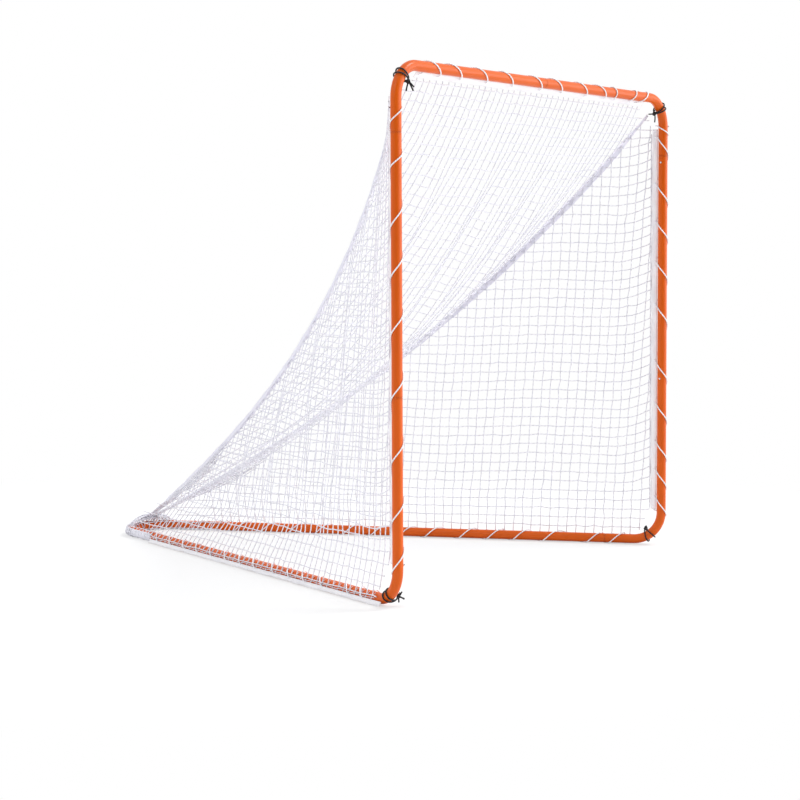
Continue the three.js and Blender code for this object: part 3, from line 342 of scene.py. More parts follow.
# %% The orange coat
coat, tree, skin = fresh_material("orange_powder_coat", {"Specular IOR Level": 0.22, "Coat Weight": 0.06,
                                                         "Coat Roughness": 0.22})
orange = two_tone(tree, noise(tree, 3.5), 0.3, 0.7, (0.64, 0.094, 0.0008), (0.69, 0.106, 0.0012))
worn = add_node(tree, "ShaderNodeAttribute", attribute_name="wear", attribute_type="GEOMETRY").outputs["Fac"]
specks = two_tone(tree, noise(tree, 420.0, 4.0, 0.7), 0.5, 0.62, (0.0,) * 3, (1.0,) * 3)
colour = blend_colours(tree, combined(tree, "MULTIPLY", worn, specks), orange, (0.20, 0.045, 0.02, 1.0))
handling = spread(tree, noise(tree, 22.0), 0.26, 0.44)
orange_peel = noise(tree, 620.0, 2.0)
surface_from(tree, skin, colour, handling, orange_peel, 0.12, 0.0006)
print("orange coat ready")

# %% [markdown]
# ## Bent and straight tubes
# A tube bender draws the tube round a former, so each piece is straight legs joined by arcs. Here a
# path is a list of such legs, and one profile of the wall is carried along it: the outside, the inside
# and the rounded cut ends. A plugged end also carries its spigot, pressed down to fit inside the next
# tube. The holes for the snap buttons are cut afterwards, and the round wall keeps the shading of a
# true cylinder because its normals are set from the path itself.

# %% Paths: straight legs and arcs
def line_leg(start, way, length):
    """A straight leg: a function from distance to place and direction, and its length."""
    return (lambda d: (start + way * d, way.copy())), length


def arc_leg(start, way, axis, radius, angle):
    """An arc that turns the direction about an axis."""
    centre = start + axis.cross(way) * radius

    def at(d):
        turned = Matrix.Rotation(d / radius, 3, axis)
        return centre + turned @ (start - centre), turned @ way

    return at, radius * angle


def on_path(legs, d):
    """Place and direction at a distance along the legs, running straight on past either end."""
    for number, (leg, length) in enumerate(legs):
        if d <= length or number == len(legs) - 1:
            if d < 0:
                place, way = leg(0.0)
                return place + way * d, way
            if d > length:
                place, way = leg(length)
                return place + way * (d - length), way
            return leg(d)
        d -= length


def path_length(legs):
    """Total length of the legs."""
    return sum(length for leg, length in legs)


arc_steps = 20


def path_stations(legs):
    """Distances where the wall needs a ring: the ends of each leg, and steps along the arcs."""
    stations, start = [], 0.0
    for leg, length in legs:
        bent = (leg(0.0)[1] - leg(length)[1]).length > 1e-6
        steps = arc_steps if bent else 1
        stations += [start + length * k / steps for k in range(1, steps + 1)]
        start += length
    return stations[:-1]


print("an arc of 115 mm gets a ring every", round(corner_bend * math.pi / 2 / arc_steps * 1000, 1), "mm")


# %% The wall's profile, from one end to the other on the outside and back on the inside
edge_round = 0.0007
spigot_length = 0.060
end_clear = 0.013


def wall_profile(legs, plugged_start, plugged_end):
    """Pairs of distance and radius round the cut of the wall, with the share of wear at each."""
    total = path_length(legs)
    bends = [d for d in path_stations(legs) if end_clear < d < total - end_clear]

    def end(plugged):
        outer = [(0.0, tube_radius - edge_round, 1.0), (edge_round * 0.3, tube_radius - edge_round * 0.3, 1.0),
                 (edge_round, tube_radius, 1.0), (0.004, tube_radius, 0.45), (0.012, tube_radius, 0.0)]
        if plugged:
            outer = [(-spigot_length, spigot_radius - 0.0005, 0.0), (-0.0594, spigot_radius, 0.0),
                     (-0.0012, spigot_radius, 1.0), (-0.0002, spigot_radius + 0.0004, 1.0)] + outer
            inner = [(0.010, bore_radius, 0.0), (0.006, spigot_bore, 0.0), (-spigot_length, spigot_bore, 0.0)]
        else:
            inner = [(0.0005, bore_radius, 0.5), (0.0, bore_radius + 0.0003, 1.0)]
        return outer, inner

    first_outer, first_inner = end(plugged_start)
    last_outer, last_inner = end(plugged_end)
    flip = lambda rows: [(total - d, r, w) for d, r, w in reversed(rows)]
    middle = [(d, tube_radius, 0.0) for d in bends]
    inside = [(d, bore_radius, 0.0) for d in reversed(bends)]
    return first_outer + middle + flip(last_outer) + flip(last_inner) + inside + first_inner


print("cut ends are rounded by", edge_round * 1000, "mm")


# %% Carry the profile along the path
tube_sides = 40


def ring_frame(way, plane):
    """Two directions square to the path; plane is square to the bend, so the frame never twists."""
    side = (plane - way * plane.dot(way)).normalized()
    return side, way.cross(side)


def ring_faces(rings, sides, closed=False):
    """Faces between rings of points; closed joins the last ring to the first."""
    faces = []
    for ring in range(rings if closed else rings - 1):
        low, high = ring * sides, (ring + 1) % rings * sides
        faces += [(low + k, low + (k + 1) % sides, high + (k + 1) % sides, high + k) for k in range(sides)]
    return faces


def wall_mesh(name, legs, plane, profile):
    """A closed wall with one ring of points for each corner of the profile."""
    points, wear = [], []
    for d, radius, worn_share in profile:
        place, way = on_path(legs, d)
        side, third = ring_frame(way, plane)
        for k in range(tube_sides):
            a = math.tau * k / tube_sides
            points.append(place + (side * math.cos(a) + third * math.sin(a)) * radius)
            wear.append(worn_share)
    mesh = bpy.data.meshes.new(name)
    mesh.from_pydata(points, [], ring_faces(len(profile), tube_sides, True))
    mesh.attributes.new("wear", "FLOAT", "POINT").data.foreach_set("value", wear)
    return mesh


print(tube_sides, "sides round each tube")


# %% Cut the button holes
hole_radius = 0.0044


def hole_cutter(place, way):
    """A round pin that points out through the wall."""
    pin = bmesh.new()
    turn = way.to_track_quat("Z", "Y").to_matrix().to_4x4()
    bmesh.ops.create_cone(pin, cap_ends=True, segments=28, radius1=hole_radius, radius2=hole_radius,
                          depth=tube_radius, matrix=Matrix.Translation(place + way * tube_radius) @ turn)
    mesh = bpy.data.meshes.new("hole_pin")
    pin.to_mesh(mesh)
    pin.free()
    cutter = bpy.data.objects.new("hole_pin", mesh)
    scene.collection.objects.link(cutter)
    return cutter


def with_holes(piece, holes):
    """The piece's mesh with a round hole at each place."""
    cutters = [hole_cutter(place, way) for place, way in holes]
    for cutter in cutters:
        cut = piece.modifiers.new("hole", "BOOLEAN")
        cut.object = cutter
        cut.operation = "DIFFERENCE"
        cut.solver = "EXACT"
    bpy.context.view_layer.update()
    solved = bpy.data.meshes.new_from_object(piece.evaluated_get(bpy.context.evaluated_depsgraph_get()))
    piece.modifiers.clear()
    old = piece.data
    piece.data = solved
    bpy.data.meshes.remove(old)
    for cutter in cutters:
        pin = cutter.data
        bpy.data.objects.remove(cutter)
        bpy.data.meshes.remove(pin)


print("holes are", hole_radius * 2000, "mm across")


# %% Shade the wall as a true cylinder
past_end = 0.07
sides_are_round = 0.93


def round_normals(mesh, legs):
    """Sets the normals of the round walls from the path, and leaves cut faces flat."""
    total = path_length(legs)
    long = total + 2 * past_end
    count = int(long / 0.002)
    steps = [on_path(legs, -past_end + long * k / count) for k in range(count + 1)]
    centres = np.array([place[:] for place, way in steps])
    ways = np.array([way[:] for place, way in steps])
    co = np.empty(len(mesh.vertices) * 3)
    mesh.vertices.foreach_get("co", co)
    co = co.reshape(-1, 3)
    nearest = np.empty(len(co), int)
    for first in range(0, len(co), 2000):
        gaps = ((co[first:first + 2000, None, :] - centres[None, :, :]) ** 2).sum(2)
        nearest[first:first + 2000] = gaps.argmin(1)
    radial = co - centres[nearest]
    radial -= ways[nearest] * (radial * ways[nearest]).sum(1)[:, None]
    radial /= np.linalg.norm(radial, axis=1)[:, None]
    mesh.polygons.foreach_set("use_smooth", [True] * len(mesh.polygons))
    normals = np.empty((len(mesh.loops), 3))
    for face in mesh.polygons:
        own = np.array(face.normal[:])
        corners = list(face.loop_indices)
        points = [mesh.loops[k].vertex_index for k in corners]
        facing = float(np.mean(radial[points] @ own))
        for k, point in zip(corners, points):
            if facing > sides_are_round:
                normals[k] = radial[point]
            elif facing < -sides_are_round:
                normals[k] = -radial[point]
            else:
                normals[k] = own
    mesh.normals_split_custom_set(normals.tolist())


def put(name, mesh, material, body="goal"):
    """Makes an object of a mesh, gives it its material and lets it ride on a body."""
    piece = bpy.data.objects.new(name, mesh)
    scene.collection.objects.link(piece)
    mesh.materials.append(material)
    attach(piece, body)
    return piece


def make_tube(name, legs, plane, plugged_start, plugged_end, holes):
    """One tube of the frame, drilled and shaded, in place of its plain solid."""
    mesh = wall_mesh(name, legs, plane, wall_profile(legs, plugged_start, plugged_end))
    piece = put("coated_" + name, mesh, coat)
    with_holes(piece, holes)
    round_normals(piece.data, legs)
    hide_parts(name)


print("tube maker ready")

# %% The joints: where each seam is, which way the spigot goes, and which way its button faces
def mirror(vector):
    """The same place or direction on the left half."""
    return Vector((-vector.x, vector.y, vector.z))


halves = (("right", 1, lambda v: v.copy()), ("left", -1, mirror))
down = Vector((0.0, 0.0, -1.0))
to_post = -rail_way
across = Vector((1.0, 0.0, 0.0))
joints = {"crossbar": (Vector((0.0, 0.0, crossbar_z)) + shift, -across, down)}
for side, sign, hand in halves:
    joints[side + "_upper"] = (hand(Vector((post_x, 0, seam_upper)) + shift), hand(down), hand(-across))
    joints[side + "_lower"] = (hand(Vector((post_x, 0, seam_lower)) + shift), hand(down), hand(-across))
    for place, along in (("front", seam_front), ("middle", seam_middle), ("rear", seam_rear)):
        joints[side + "_" + place] = (hand(beside_rail(along, 0, rail_z)), hand(to_post), hand(up))


def hole_at(joint):
    """Place on the tube's axis and direction of the hole at a joint."""
    seam, into, facing = joints[joint]
    return seam + into * button_from_seam, facing


# %% Top corners: half of the crossbar, the bend and a short leg
y_axis = Vector((0.0, 1.0, 0.0))
for side, sign, hand in halves:
    start_x = 0.0 if side == "right" else seam_gap
    straight = post_x - corner_bend - start_x
    start = hand(Vector((start_x, 0, crossbar_z)) + shift)
    bend_start = hand(Vector((post_x - corner_bend, 0, crossbar_z)) + shift)
    leg_start = hand(Vector((post_x, 0, crossbar_z - corner_bend)) + shift)
    legs = [
        line_leg(start, across * sign, straight),
        arc_leg(bend_start, across * sign, y_axis * sign, corner_bend, math.pi / 2),
        line_leg(leg_start, down, crossbar_z - corner_bend - seam_upper),
    ]
    holes = [hole_at("crossbar"), hole_at(side + "_upper")]
    make_tube("top_" + side + "_corner_tube", legs, y_axis, side == "right", True, holes)
print("two top corners, each", round(path_length(legs), 3), "m of tube")

# %% Posts and rails: straight tubes, plugged in at one end and open at the other
for side, sign, hand in halves:
    foot = hand(Vector((post_x, 0, seam_lower)) + shift)
    legs = [line_leg(foot, up, post_length - seam_gap)]
    make_tube(side + "_post_tube", legs, y_axis, True, False, [hole_at(side + "_upper"), hole_at(side + "_lower")])
    for name, first, ends in (("front", seam_front, ("front", "middle")), ("rear", seam_middle, ("middle", "rear"))):
        legs = [line_leg(hand(beside_rail(first, 0, rail_z)), hand(rail_way), rail_length - seam_gap)]
        holes = [hole_at(side + "_" + end) for end in ends]
        make_tube(side + "_" + name + "_rail_tube", legs, up, True, False, holes)
print("two posts and four rail tubes")

# %% Bottom corners: the lower post, the foot bend and a stub of rail
for side, sign, hand in halves:
    top = hand(Vector((post_x, 0, seam_lower - seam_gap)) + shift)
    bend_top = hand(Vector((post_x, 0, rail_z + corner_bend)) + shift)
    stub = hand(beside_rail(corner_bend, 0, rail_z))
    turning = down.cross(hand(rail_way)).normalized()
    legs = [
        line_leg(top, down, seam_lower - seam_gap - rail_z - corner_bend),
        arc_leg(bend_top, down, turning, corner_bend, math.pi / 2),
        line_leg(stub, hand(rail_way), seam_front - seam_gap - corner_bend),
    ]
    holes = [hole_at(side + "_lower"), hole_at(side + "_front")]
    make_tube("bottom_" + side + "_corner_tube", legs, turning, False, False, holes)
print("two foot bends")

# %% The rear V
rail_meeting = post_x / math.tan(rail_angle)
rail_tangent = math.hypot(post_x, rail_meeting) - rear_bend / math.tan(rail_angle)
sweep = math.pi - 2 * rail_angle
apex_start = beside_rail(seam_rear, 0, rail_z)
arc_start = beside_rail(rail_tangent, 0, rail_z)
arc_finish = mirror(arc_start)
legs = [
    line_leg(apex_start, rail_way, rail_tangent - seam_rear),
    arc_leg(arc_start, rail_way, up, rear_bend, sweep),
    line_leg(arc_finish, mirror(to_post), rail_tangent - seam_rear),
]
make_tube("rear_apex_tube", legs, up, True, True, [hole_at("right_rear"), hole_at("left_rear")])
middle_of_v = on_path(legs, path_length(legs) / 2)[0]
print("rear V turns", round(math.degrees(sweep), 1), "degrees, reaches Y =", round(middle_of_v.y + tube_radius, 4))

# %% [markdown]
# ## How the net hangs
# The net is three flat triangles of square mesh: one for each side and one for the sloping back. They
# are joined by two seams that hang in a curve from the top corners to the rear. Cloth simulation could
# hang it, but the photograph shows the hang exactly, so the curves measured there are written down
# once. A side panel is then the surface between the post, the rail and its seam, and the back is the
# surface between the two seams, sagging like a hammock.

# %% The seam from a top corner to the rear
hands = (("right", 1), ("left", -1))
corner_cut = corner_bend * (1 - math.sqrt(0.5))
seam_top = Vector((post_x - corner_cut, 0.025, crossbar_z - corner_cut))
seam_end = Vector((0.0, rear_tip - 0.021, 0.045))
seam_inward = Vector((-(seam_end.y - seam_top.y), seam_end.x - seam_top.x, 0.0)).normalized()


seam_drop, drop_shape = 0.195, 0.821
seam_bow, bow_shape = 0.118, 0.678


def seam_point(share):
    """A point of the right seam, before the shift to the middle of the goal."""
    point = seam_top.lerp(seam_end, share)
    point -= up * (seam_drop * math.sin(math.pi * share ** drop_shape))
    return point + seam_inward * (seam_bow * math.sin(math.pi * share ** bow_shape))


def run_along(points):
    """How far along a chain each of its points is."""
    return np.concatenate([[0], np.cumsum(np.linalg.norm(np.diff(points, axis=0), axis=1))])


def rail_place(point):
    """Along the rail, out from it, and height."""
    step = point - Vector((post_x, 0.0, 0.0))
    return step.dot(rail_way), step.dot(outward), point.z


shares = np.linspace(0.01, 0.97, 400)
seam_table = np.array([rail_place(seam_point(s)) for s in shares])
seam_world = np.array([seam_point(s)[:] for s in shares])
rail_share = (seam_table[:, 0] - seam_table[0, 0]) / (seam_table[-1, 0] - seam_table[0, 0])
print("seam hangs from", round(seam_table[0, 2], 3), "m down to", round(seam_table[-1, 2], 3), "m")


# %% The seam's place at a height, for the side panels
def seam_at_height(z):
    """Along and out of the seam at a height."""
    heights = seam_table[::-1, 2]
    return np.interp(z, heights, seam_table[::-1, 0]), np.interp(z, heights, seam_table[::-1, 1])


row_ten = float(np.interp(10 / 11, rail_share, seam_table[:, 2]))
print("at 1 m up the seam is", round(float(seam_at_height(1.0)[0]), 3), "m back from the post")

# %% [markdown]
# ## The surface of a side panel
# On the surface a point is given by how far back it is and how high. The panel bows inwards towards
# its seam, wraps over the outer side of the rail at the bottom, and is drawn up a little beside the
# post, where the lacing pulls on it. Gentle upright folds make it read as cloth and not as wire.

# %% Side panel: edges and surface
hem_edge = 0.0467
post_hem_top = crossbar_z - corner_bend - 0.006
post_hem_foot = rail_z + corner_bend + 0.014
rail_net_out = 0.0206
rail_net_z = rail_z + 0.0076
foot_along = 0.1067


def front_edge(z):
    """How far back the panel starts at a height: beside the post, and across the two corners."""
    z = np.asarray(z, float)
    low = hem_edge + (foot_along - hem_edge) * (post_hem_foot - z) / (post_hem_foot - rail_net_z)
    rise = seam_table[0, 2] - post_hem_top
    high = hem_edge + (seam_table[0, 0] + 0.004 - hem_edge) * (z - post_hem_top) / rise
    return np.where(z < post_hem_foot, low, np.where(z > post_hem_top, high, hem_edge))


def back_edge(z):
    """How far back the panel ends at a height: at the seam, or on the rail below it."""
    z = np.asarray(z, float)
    seam = seam_at_height(z)[0] - 0.002
    lowest = seam_table[-1, 2]
    rear = seam_table[-1, 0] + (2.0 - seam_table[-1, 0]) * (lowest - z) / (lowest - rail_net_z)
    return np.where(z < lowest, rear, seam)


def eased(value, low, high):
    """0 below low, 1 above high, and smooth between."""
    t = np.clip((np.asarray(value, float) - low) / (high - low), 0.0, 1.0)
    return t * t * (3 - 2 * t)


def side_surface(along, z, hand):
    """Points of a side panel. Hand is +1 for the right panel and -1 for the left."""
    along, z = np.asarray(along, float), np.asarray(z, float)
    shown = np.maximum(z, row_ten)
    seam_along, seam_out = seam_at_height(shown)
    share = np.clip((along - 0.0443) / (seam_along - 0.0443), 0.0, 1.2)
    out = seam_out * share ** 1.2
    low = np.clip((row_ten - z) / (row_ten - rail_net_z), 0.0, 1.0)
    out = out * (1 - low) + rail_net_out * low
    inside = np.clip((along - front_edge(z)) / 0.25, 0, 1) * np.clip((back_edge(z) - along) / 0.25, 0, 1)
    inside = inside * eased(z, 0.05, 0.35)
    phase = 0.7 if hand > 0 else 2.9
    fold = 0.0075 * np.sin(along * 23.0 + z * 2.2 + phase) + 0.005 * np.sin(along * 41.0 - z * 3.7 + 2 * phase)
    fold += 0.006 * np.sin(along * 9.0 + z * 5.0 + phase)
    out = out + inside * fold
    drawn = 0.036 * np.clip(1 - (along - hem_edge) / 0.15, 0, 1) ** 2
    drawn = drawn * eased(z, 0.10, 0.35) * (1 - eased(z, 1.62, 1.72))
    sag = -0.004 * inside * np.sin(along * 8.0 + phase)
    x = post_x + rail_way.x * along + outward.x * out
    y = rail_way.y * along + outward.y * out + shift.y
    return np.stack([hand * x, y, z + drawn + sag], axis=-1)


print("side panel runs from", hem_edge, "to", round(float(back_edge(rail_net_z)), 3), "m back at the ground")

# %% [markdown]
# ## The surface of the back panel
# The back hangs between the two seams. Its rows run level from seam to seam, and its columns run down
# from the crossbar towards the rear, drawing together a little on the way.

# %% Back panel: rows between the seams, sagging in the middle
back_facing = Vector((0.0, seam_top.z - seam_end.z, seam_end.y - seam_top.y)).normalized()
crossbar_hem_way = Vector((0.0, 0.62, -0.78)).normalized()
first_row = 0.012
bar_hem_end = 0.7935
belly_depth = 0.095


def back_surface(x, u):
    """Points of the back panel: x across, and u from 0 at the crossbar to 1 at the rear."""
    x, u = np.asarray(x, float), np.asarray(u, float)
    seam_x = np.interp(u, rail_share, seam_world[:, 0])
    y = np.interp(u, rail_share, seam_world[:, 1])
    z = np.interp(u, rail_share, seam_world[:, 2])
    hem_y, hem_z = crossbar_hem_way.y * hem_edge, crossbar_z + crossbar_hem_way.z * hem_edge
    near_bar = 1 - eased(u, 0.0, 0.03)
    y = y * (1 - near_bar) + hem_y * near_bar
    z = z * (1 - near_bar) + hem_z * near_bar
    share = np.clip(np.abs(x) / np.maximum(seam_x, 1e-4), 0, 1)
    belly = belly_depth * np.sin(np.pi * u) * (1 - share ** 2)
    room = np.clip((1 - share) * seam_x / 0.12, 0, 1) * eased(u, 0.02, 0.2)
    fan = x / (0.25 + 0.75 * np.maximum(seam_x, 0.02))
    fold = 0.010 * np.sin(fan * 17.0 + 3.0 * u + 0.6) + 0.007 * np.sin(fan * 31.0 - 5.0 * u + 2.1)
    fold += 0.006 * np.sin(x * 7.0 + u * 11.0)
    depth_in = -belly + room * fold
    y = y + back_facing.y * depth_in
    z = z + back_facing.z * depth_in
    return np.stack([x, y + shift.y, z], axis=-1)


def back_half_width(u):
    """Half the width of the back panel at u."""
    return np.interp(u, rail_share, seam_world[:, 0]) - 0.003


centre_u = np.linspace(0, 1, 600)
centre = back_surface(np.zeros(600), centre_u)
centre_run = run_along(centre)
print("back panel is", round(centre_run[-1], 2), "m down its middle")

# %% [markdown]
# ## Twine and knots
# Every mesh of the net is 38 mm of twisted twine from knot to knot, drawn 4 mm thick. A texture of a
# net on a sheet would lose its thickness and its shadows, so each strand here is a real tube. A strand
# is laid over the surface as a chain of points, and a round tube is built along it. Each crossing gets
# a small lump, a little turned and squeezed, as no two knots sit alike.

# %% Tubes along chains of points
mesh_size = 0.0385
twine_radius = 0.0020
knot_slip = 0.0014
knot_margin = 0.006
chance = np.random.default_rng(38)


def tube_arrays(chain, facing, radius, sides):
    """Points, faces and texture places of a tube along a chain of points."""
    chain = np.asarray(chain, float)
    count = len(chain)
    way = np.gradient(chain, axis=0)
    way /= np.linalg.norm(way, axis=1)[:, None]
    third = np.cross(way, np.broadcast_to(np.asarray(facing, float), way.shape))
    third /= np.linalg.norm(third, axis=1)[:, None]
    side = np.cross(third, way)
    angle = np.arange(sides) * math.tau / sides
    radius = np.broadcast_to(np.asarray(radius, float), (count,))
    ring = side[:, None, :] * np.cos(angle)[None, :, None]
    ring = ring + third[:, None, :] * np.sin(angle)[None, :, None]
    points = (chain[:, None, :] + ring * radius[:, None, None]).reshape(-1, 3)
    run = run_along(chain)
    low = (np.arange(count - 1)[:, None] * sides + np.arange(sides)[None, :])
    nxt = (np.arange(count - 1)[:, None] * sides + (np.arange(sides)[None, :] + 1) % sides)
    faces = np.stack([low, low + sides, nxt + sides, nxt], axis=-1).reshape(-1, 4)
    around = np.arange(sides)[None, :] / sides + np.zeros((count - 1, 1))
    start, stop = run[:-1, None] + 0 * around, run[1:, None] + 0 * around
    step = 1 / sides
    places = np.stack([start, around, stop, around, stop, around + step, start, around + step], axis=-1)
    return points, faces, places.reshape(-1, 4, 2)


def mesh_from(name, points, faces, places=None):
    """A smooth mesh of faces that all have the same number of corners."""
    corners = faces.shape[1]
    mesh = bpy.data.meshes.new(name)
    mesh.vertices.add(len(points))
    mesh.vertices.foreach_set("co", points.astype(np.float32).ravel())
    mesh.loops.add(len(faces) * corners)
    mesh.loops.foreach_set("vertex_index", faces.astype(np.int32).ravel())
    mesh.polygons.add(len(faces))
    mesh.polygons.foreach_set("loop_start", np.arange(len(faces), dtype=np.int32) * corners)
    mesh.polygons.foreach_set("use_smooth", np.ones(len(faces), bool))
    if places is not None:
        layer = mesh.uv_layers.new(name="along_and_around")
        layer.data.foreach_set("uv", places.astype(np.float32).ravel())
    mesh.update(calc_edges=True)
    mesh.validate()
    return mesh


def quads_mesh(name, parts):
    """One mesh of many tubes, with its texture places."""
    points, faces, places, base = [], [], [], 0
    for part_points, part_faces, part_places in parts:
        points.append(part_points)
        faces.append(part_faces + base)
        places.append(part_places)
        base += len(part_points)
    return mesh_from(name, np.concatenate(points), np.concatenate(faces), np.concatenate(places))


def put_tubes(name, parts, material):
    """Many tubes as one piece."""
    return put(name, quads_mesh(name, parts), material)


print("twine is", twine_radius * 2000, "mm thick, with a knot every", mesh_size * 1000, "mm")

# %% The chains of a side panel: level rows and leaning columns
row_heights = np.arange(rail_net_z, seam_table[0, 2], mesh_size)


def column_along(foot, z):
    """A column leans so that its lower end is nearer to the rear."""
    lean = 0.060 + 0.062 * foot
    return foot - lean * (z - rail_net_z)


def side_chains():
    """Chains of points for the rows and the columns of a side panel, and its knots."""
    feet = np.arange(hem_edge + 0.010, 2.0, mesh_size)
    slip = {}
    for i in range(len(row_heights)):
        for j in range(len(feet)):
            slip[i, j] = chance.normal(0.0, knot_slip, 2)

    def knot(i, j):
        z = row_heights[i] + slip[i, j][1]
        return column_along(feet[j], row_heights[i]) + slip[i, j][0], z

    rows, columns, knots = [], [], []
    inside = {}
    for i, z in enumerate(row_heights):
        low, high = float(front_edge(z)), float(back_edge(z))
        chain = [(low, z)]
        for j in range(len(feet)):
            place = column_along(feet[j], z)
            if low + knot_margin < place < high - knot_margin:
                chain.append(knot(i, j))
                inside[i, j] = True
        chain.append((high, z))
        rows.append(chain)
    for j, foot in enumerate(feet):
        fine = np.arange(rail_net_z, seam_table[0, 2], 0.004)
        place = column_along(foot, fine)
        ok = (place > front_edge(fine)) & (place < back_edge(fine))
        if ok.sum() < 3:
            continue
        bottom, top = fine[ok][0], fine[ok][-1]
        chain = [(column_along(foot, bottom), bottom)]
        chain += [knot(i, j) for i, z in enumerate(row_heights)
                  if (i, j) in inside and bottom + knot_margin < z < top - knot_margin]
        chain.append((column_along(foot, top), top))
        columns.append(chain)
    knots = [knot(i, j) for i, j in inside if i > 0]
    return rows, columns, knots


def softened(chain, steps, surface, slack=0.0012):
    """A chain over a surface with points added between its knots, each mesh hanging a little slack."""
    chain = np.asarray(chain, float)
    out = []
    for k in range(len(chain) - 1):
        t = np.arange(steps) / steps
        part = chain[k][None, :] * (1 - t[:, None]) + chain[k + 1][None, :] * t[:, None]
        out.append(part)
    out.append(chain[-1:])
    places = np.concatenate(out)
    points = surface(places[:, 0], places[:, 1])
    hang = np.zeros(len(points))
    for k in range(1, steps):
        hang[k::steps] = math.sin(math.pi * k / steps)
    amount = np.repeat(chance.uniform(0.2, 1.0, len(chain)), steps)[: len(points)]
    points[:, 2] -= hang * slack * amount
    return points


rows, columns, knots = side_chains()
print(len(rows), "rows,", len(columns), "columns and", len(knots), "knots in a side panel")

# %% One knot, and many of them
ball = bmesh.new()
bmesh.ops.create_icosphere(ball, subdivisions=1, radius=1.0)
ball_points = np.array([v.co[:] for v in ball.verts])
ball_faces = np.array([[v.index for v in f.verts] for f in ball.faces])
ball.free()
crease = 1 - 0.22 * np.cos(3.0 * np.arctan2(ball_points[:, 1], ball_points[:, 0]) + 2.0 * ball_points[:, 2])
ball_points = ball_points * crease[:, None]
knot_size = np.array([0.0034, 0.0030, 0.0025])


def put_knots(name, places, first_ways, facings):
    """A piece of small lumps, one at each crossing, turned along the row and squeezed flat."""
    points, faces = [], []
    for number, (place, way, facing) in enumerate(zip(places, first_ways, facings)):
        angle = chance.uniform(-0.6, 0.6) + math.radians(45)
        facing = facing / np.linalg.norm(facing)
        way = way - facing * way.dot(facing)
        way = way / np.linalg.norm(way)
        cross = np.cross(facing, way)
        first = way * math.cos(angle) + cross * math.sin(angle)
        second = cross * math.cos(angle) - way * math.sin(angle)
        size = knot_size * chance.uniform(0.88, 1.12, 3)
        basis = np.stack([first * size[0], second * size[1], facing * size[2]])
        points.append(ball_points @ basis + place)
        faces.append(ball_faces + number * len(ball_points))
    return put(name, mesh_from(name, np.concatenate(points), np.concatenate(faces)), knot_twine)


print("a knot is about", knot_size[0] * 2000, "mm across")

# %% [markdown]
# ## The look of the twine
# The net is white polyethylene, twisted from two thick yarns, with a faint cool shade. Its texture runs
# along each strand: a slanting wave for the twist, which also paints the grooves between the yarns darker
# as a painted shade, and a little noise for stray fibres and handling. The surface is dull, with only a
# trace of sheen.

# %% Twine material, for the net, the white cord and the sewing thread
def twine_material(name, light, dark, pitch, roughness=0.75, bump=0.5, sheen=0.25):
    """White twisted twine: the grooves of the twist are painted darker than the yarns, as painted shade."""
    made, tree, skin = fresh_material(name, {"Specular IOR Level": 0.25, "Sheen Weight": sheen,
                                             "Sheen Roughness": 0.5})
    yarns = twist(tree, pitch, 2.0, 0.6)
    # The dark colour is painted shade in the grooves of the twist; the light colour is on the yarns.
    colour, soil = soiled(tree, two_tone(tree, yarns, 0.1, 0.7, dark, light), 14.0, (0.90, 0.90, 0.93))
    surface_from(tree, skin, colour, spread(tree, soil, roughness - 0.08, roughness + 0.1), yarns, bump, 0.0005)
    return made


# The net's darker twine colour is painted shade for the grooves of the twist.
net_twine = twine_material("white_twine", (0.85, 0.845, 0.885), (0.72, 0.71, 0.765), 0.009)
print("twine material ready")


# %% Side panels
def panel_pieces(name, chains, knot_places, surface, facing, node, sides=7, steps=3):
    """The strands and the knots of a panel, as two pieces in place of its plain solid."""
    parts = [tube_arrays(softened(chain, steps, surface), facing, twine_radius, sides) for chain in chains]
    strands = put_tubes(name + "_twine", parts, net_twine)
    places = np.array(knot_places)
    at = surface(places[:, 0], places[:, 1])
    ahead = surface(places[:, 0] + 0.01, places[:, 1]) - at
    above = surface(places[:, 0], places[:, 1] + 0.01) - at
    lumps = put_knots(name + "_knots", at, ahead, np.cross(ahead, above))
    for piece in (strands, lumps):
        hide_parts(node)
    return strands, lumps


def knot_material(name, light, dark):
    """The same white as the twine, with a fine grain in place of the twist."""
    made, tree, skin = fresh_material(name, {"Specular IOR Level": 0.25, "Roughness": 0.8})
    grain = noise(tree, 900.0)
    surface_from(tree, skin, two_tone(tree, grain, 0.35, 0.65, dark, light), None, grain, 0.5, 0.0006)
    return made


knot_twine = knot_material("white_knots", (0.84, 0.835, 0.875), (0.70, 0.69, 0.745))
for side, hand in hands:
    rows, columns, knots = side_chains()
    facing = Vector((outward.x * hand, outward.y, 0.0))
    pieces = panel_pieces(side + "_side", rows + columns, knots,
                          lambda a, z, h=hand: side_surface(a, z, h), facing, side + "_side_net")
    print(side, "panel:", [len(p.data.polygons) for p in pieces], "faces")


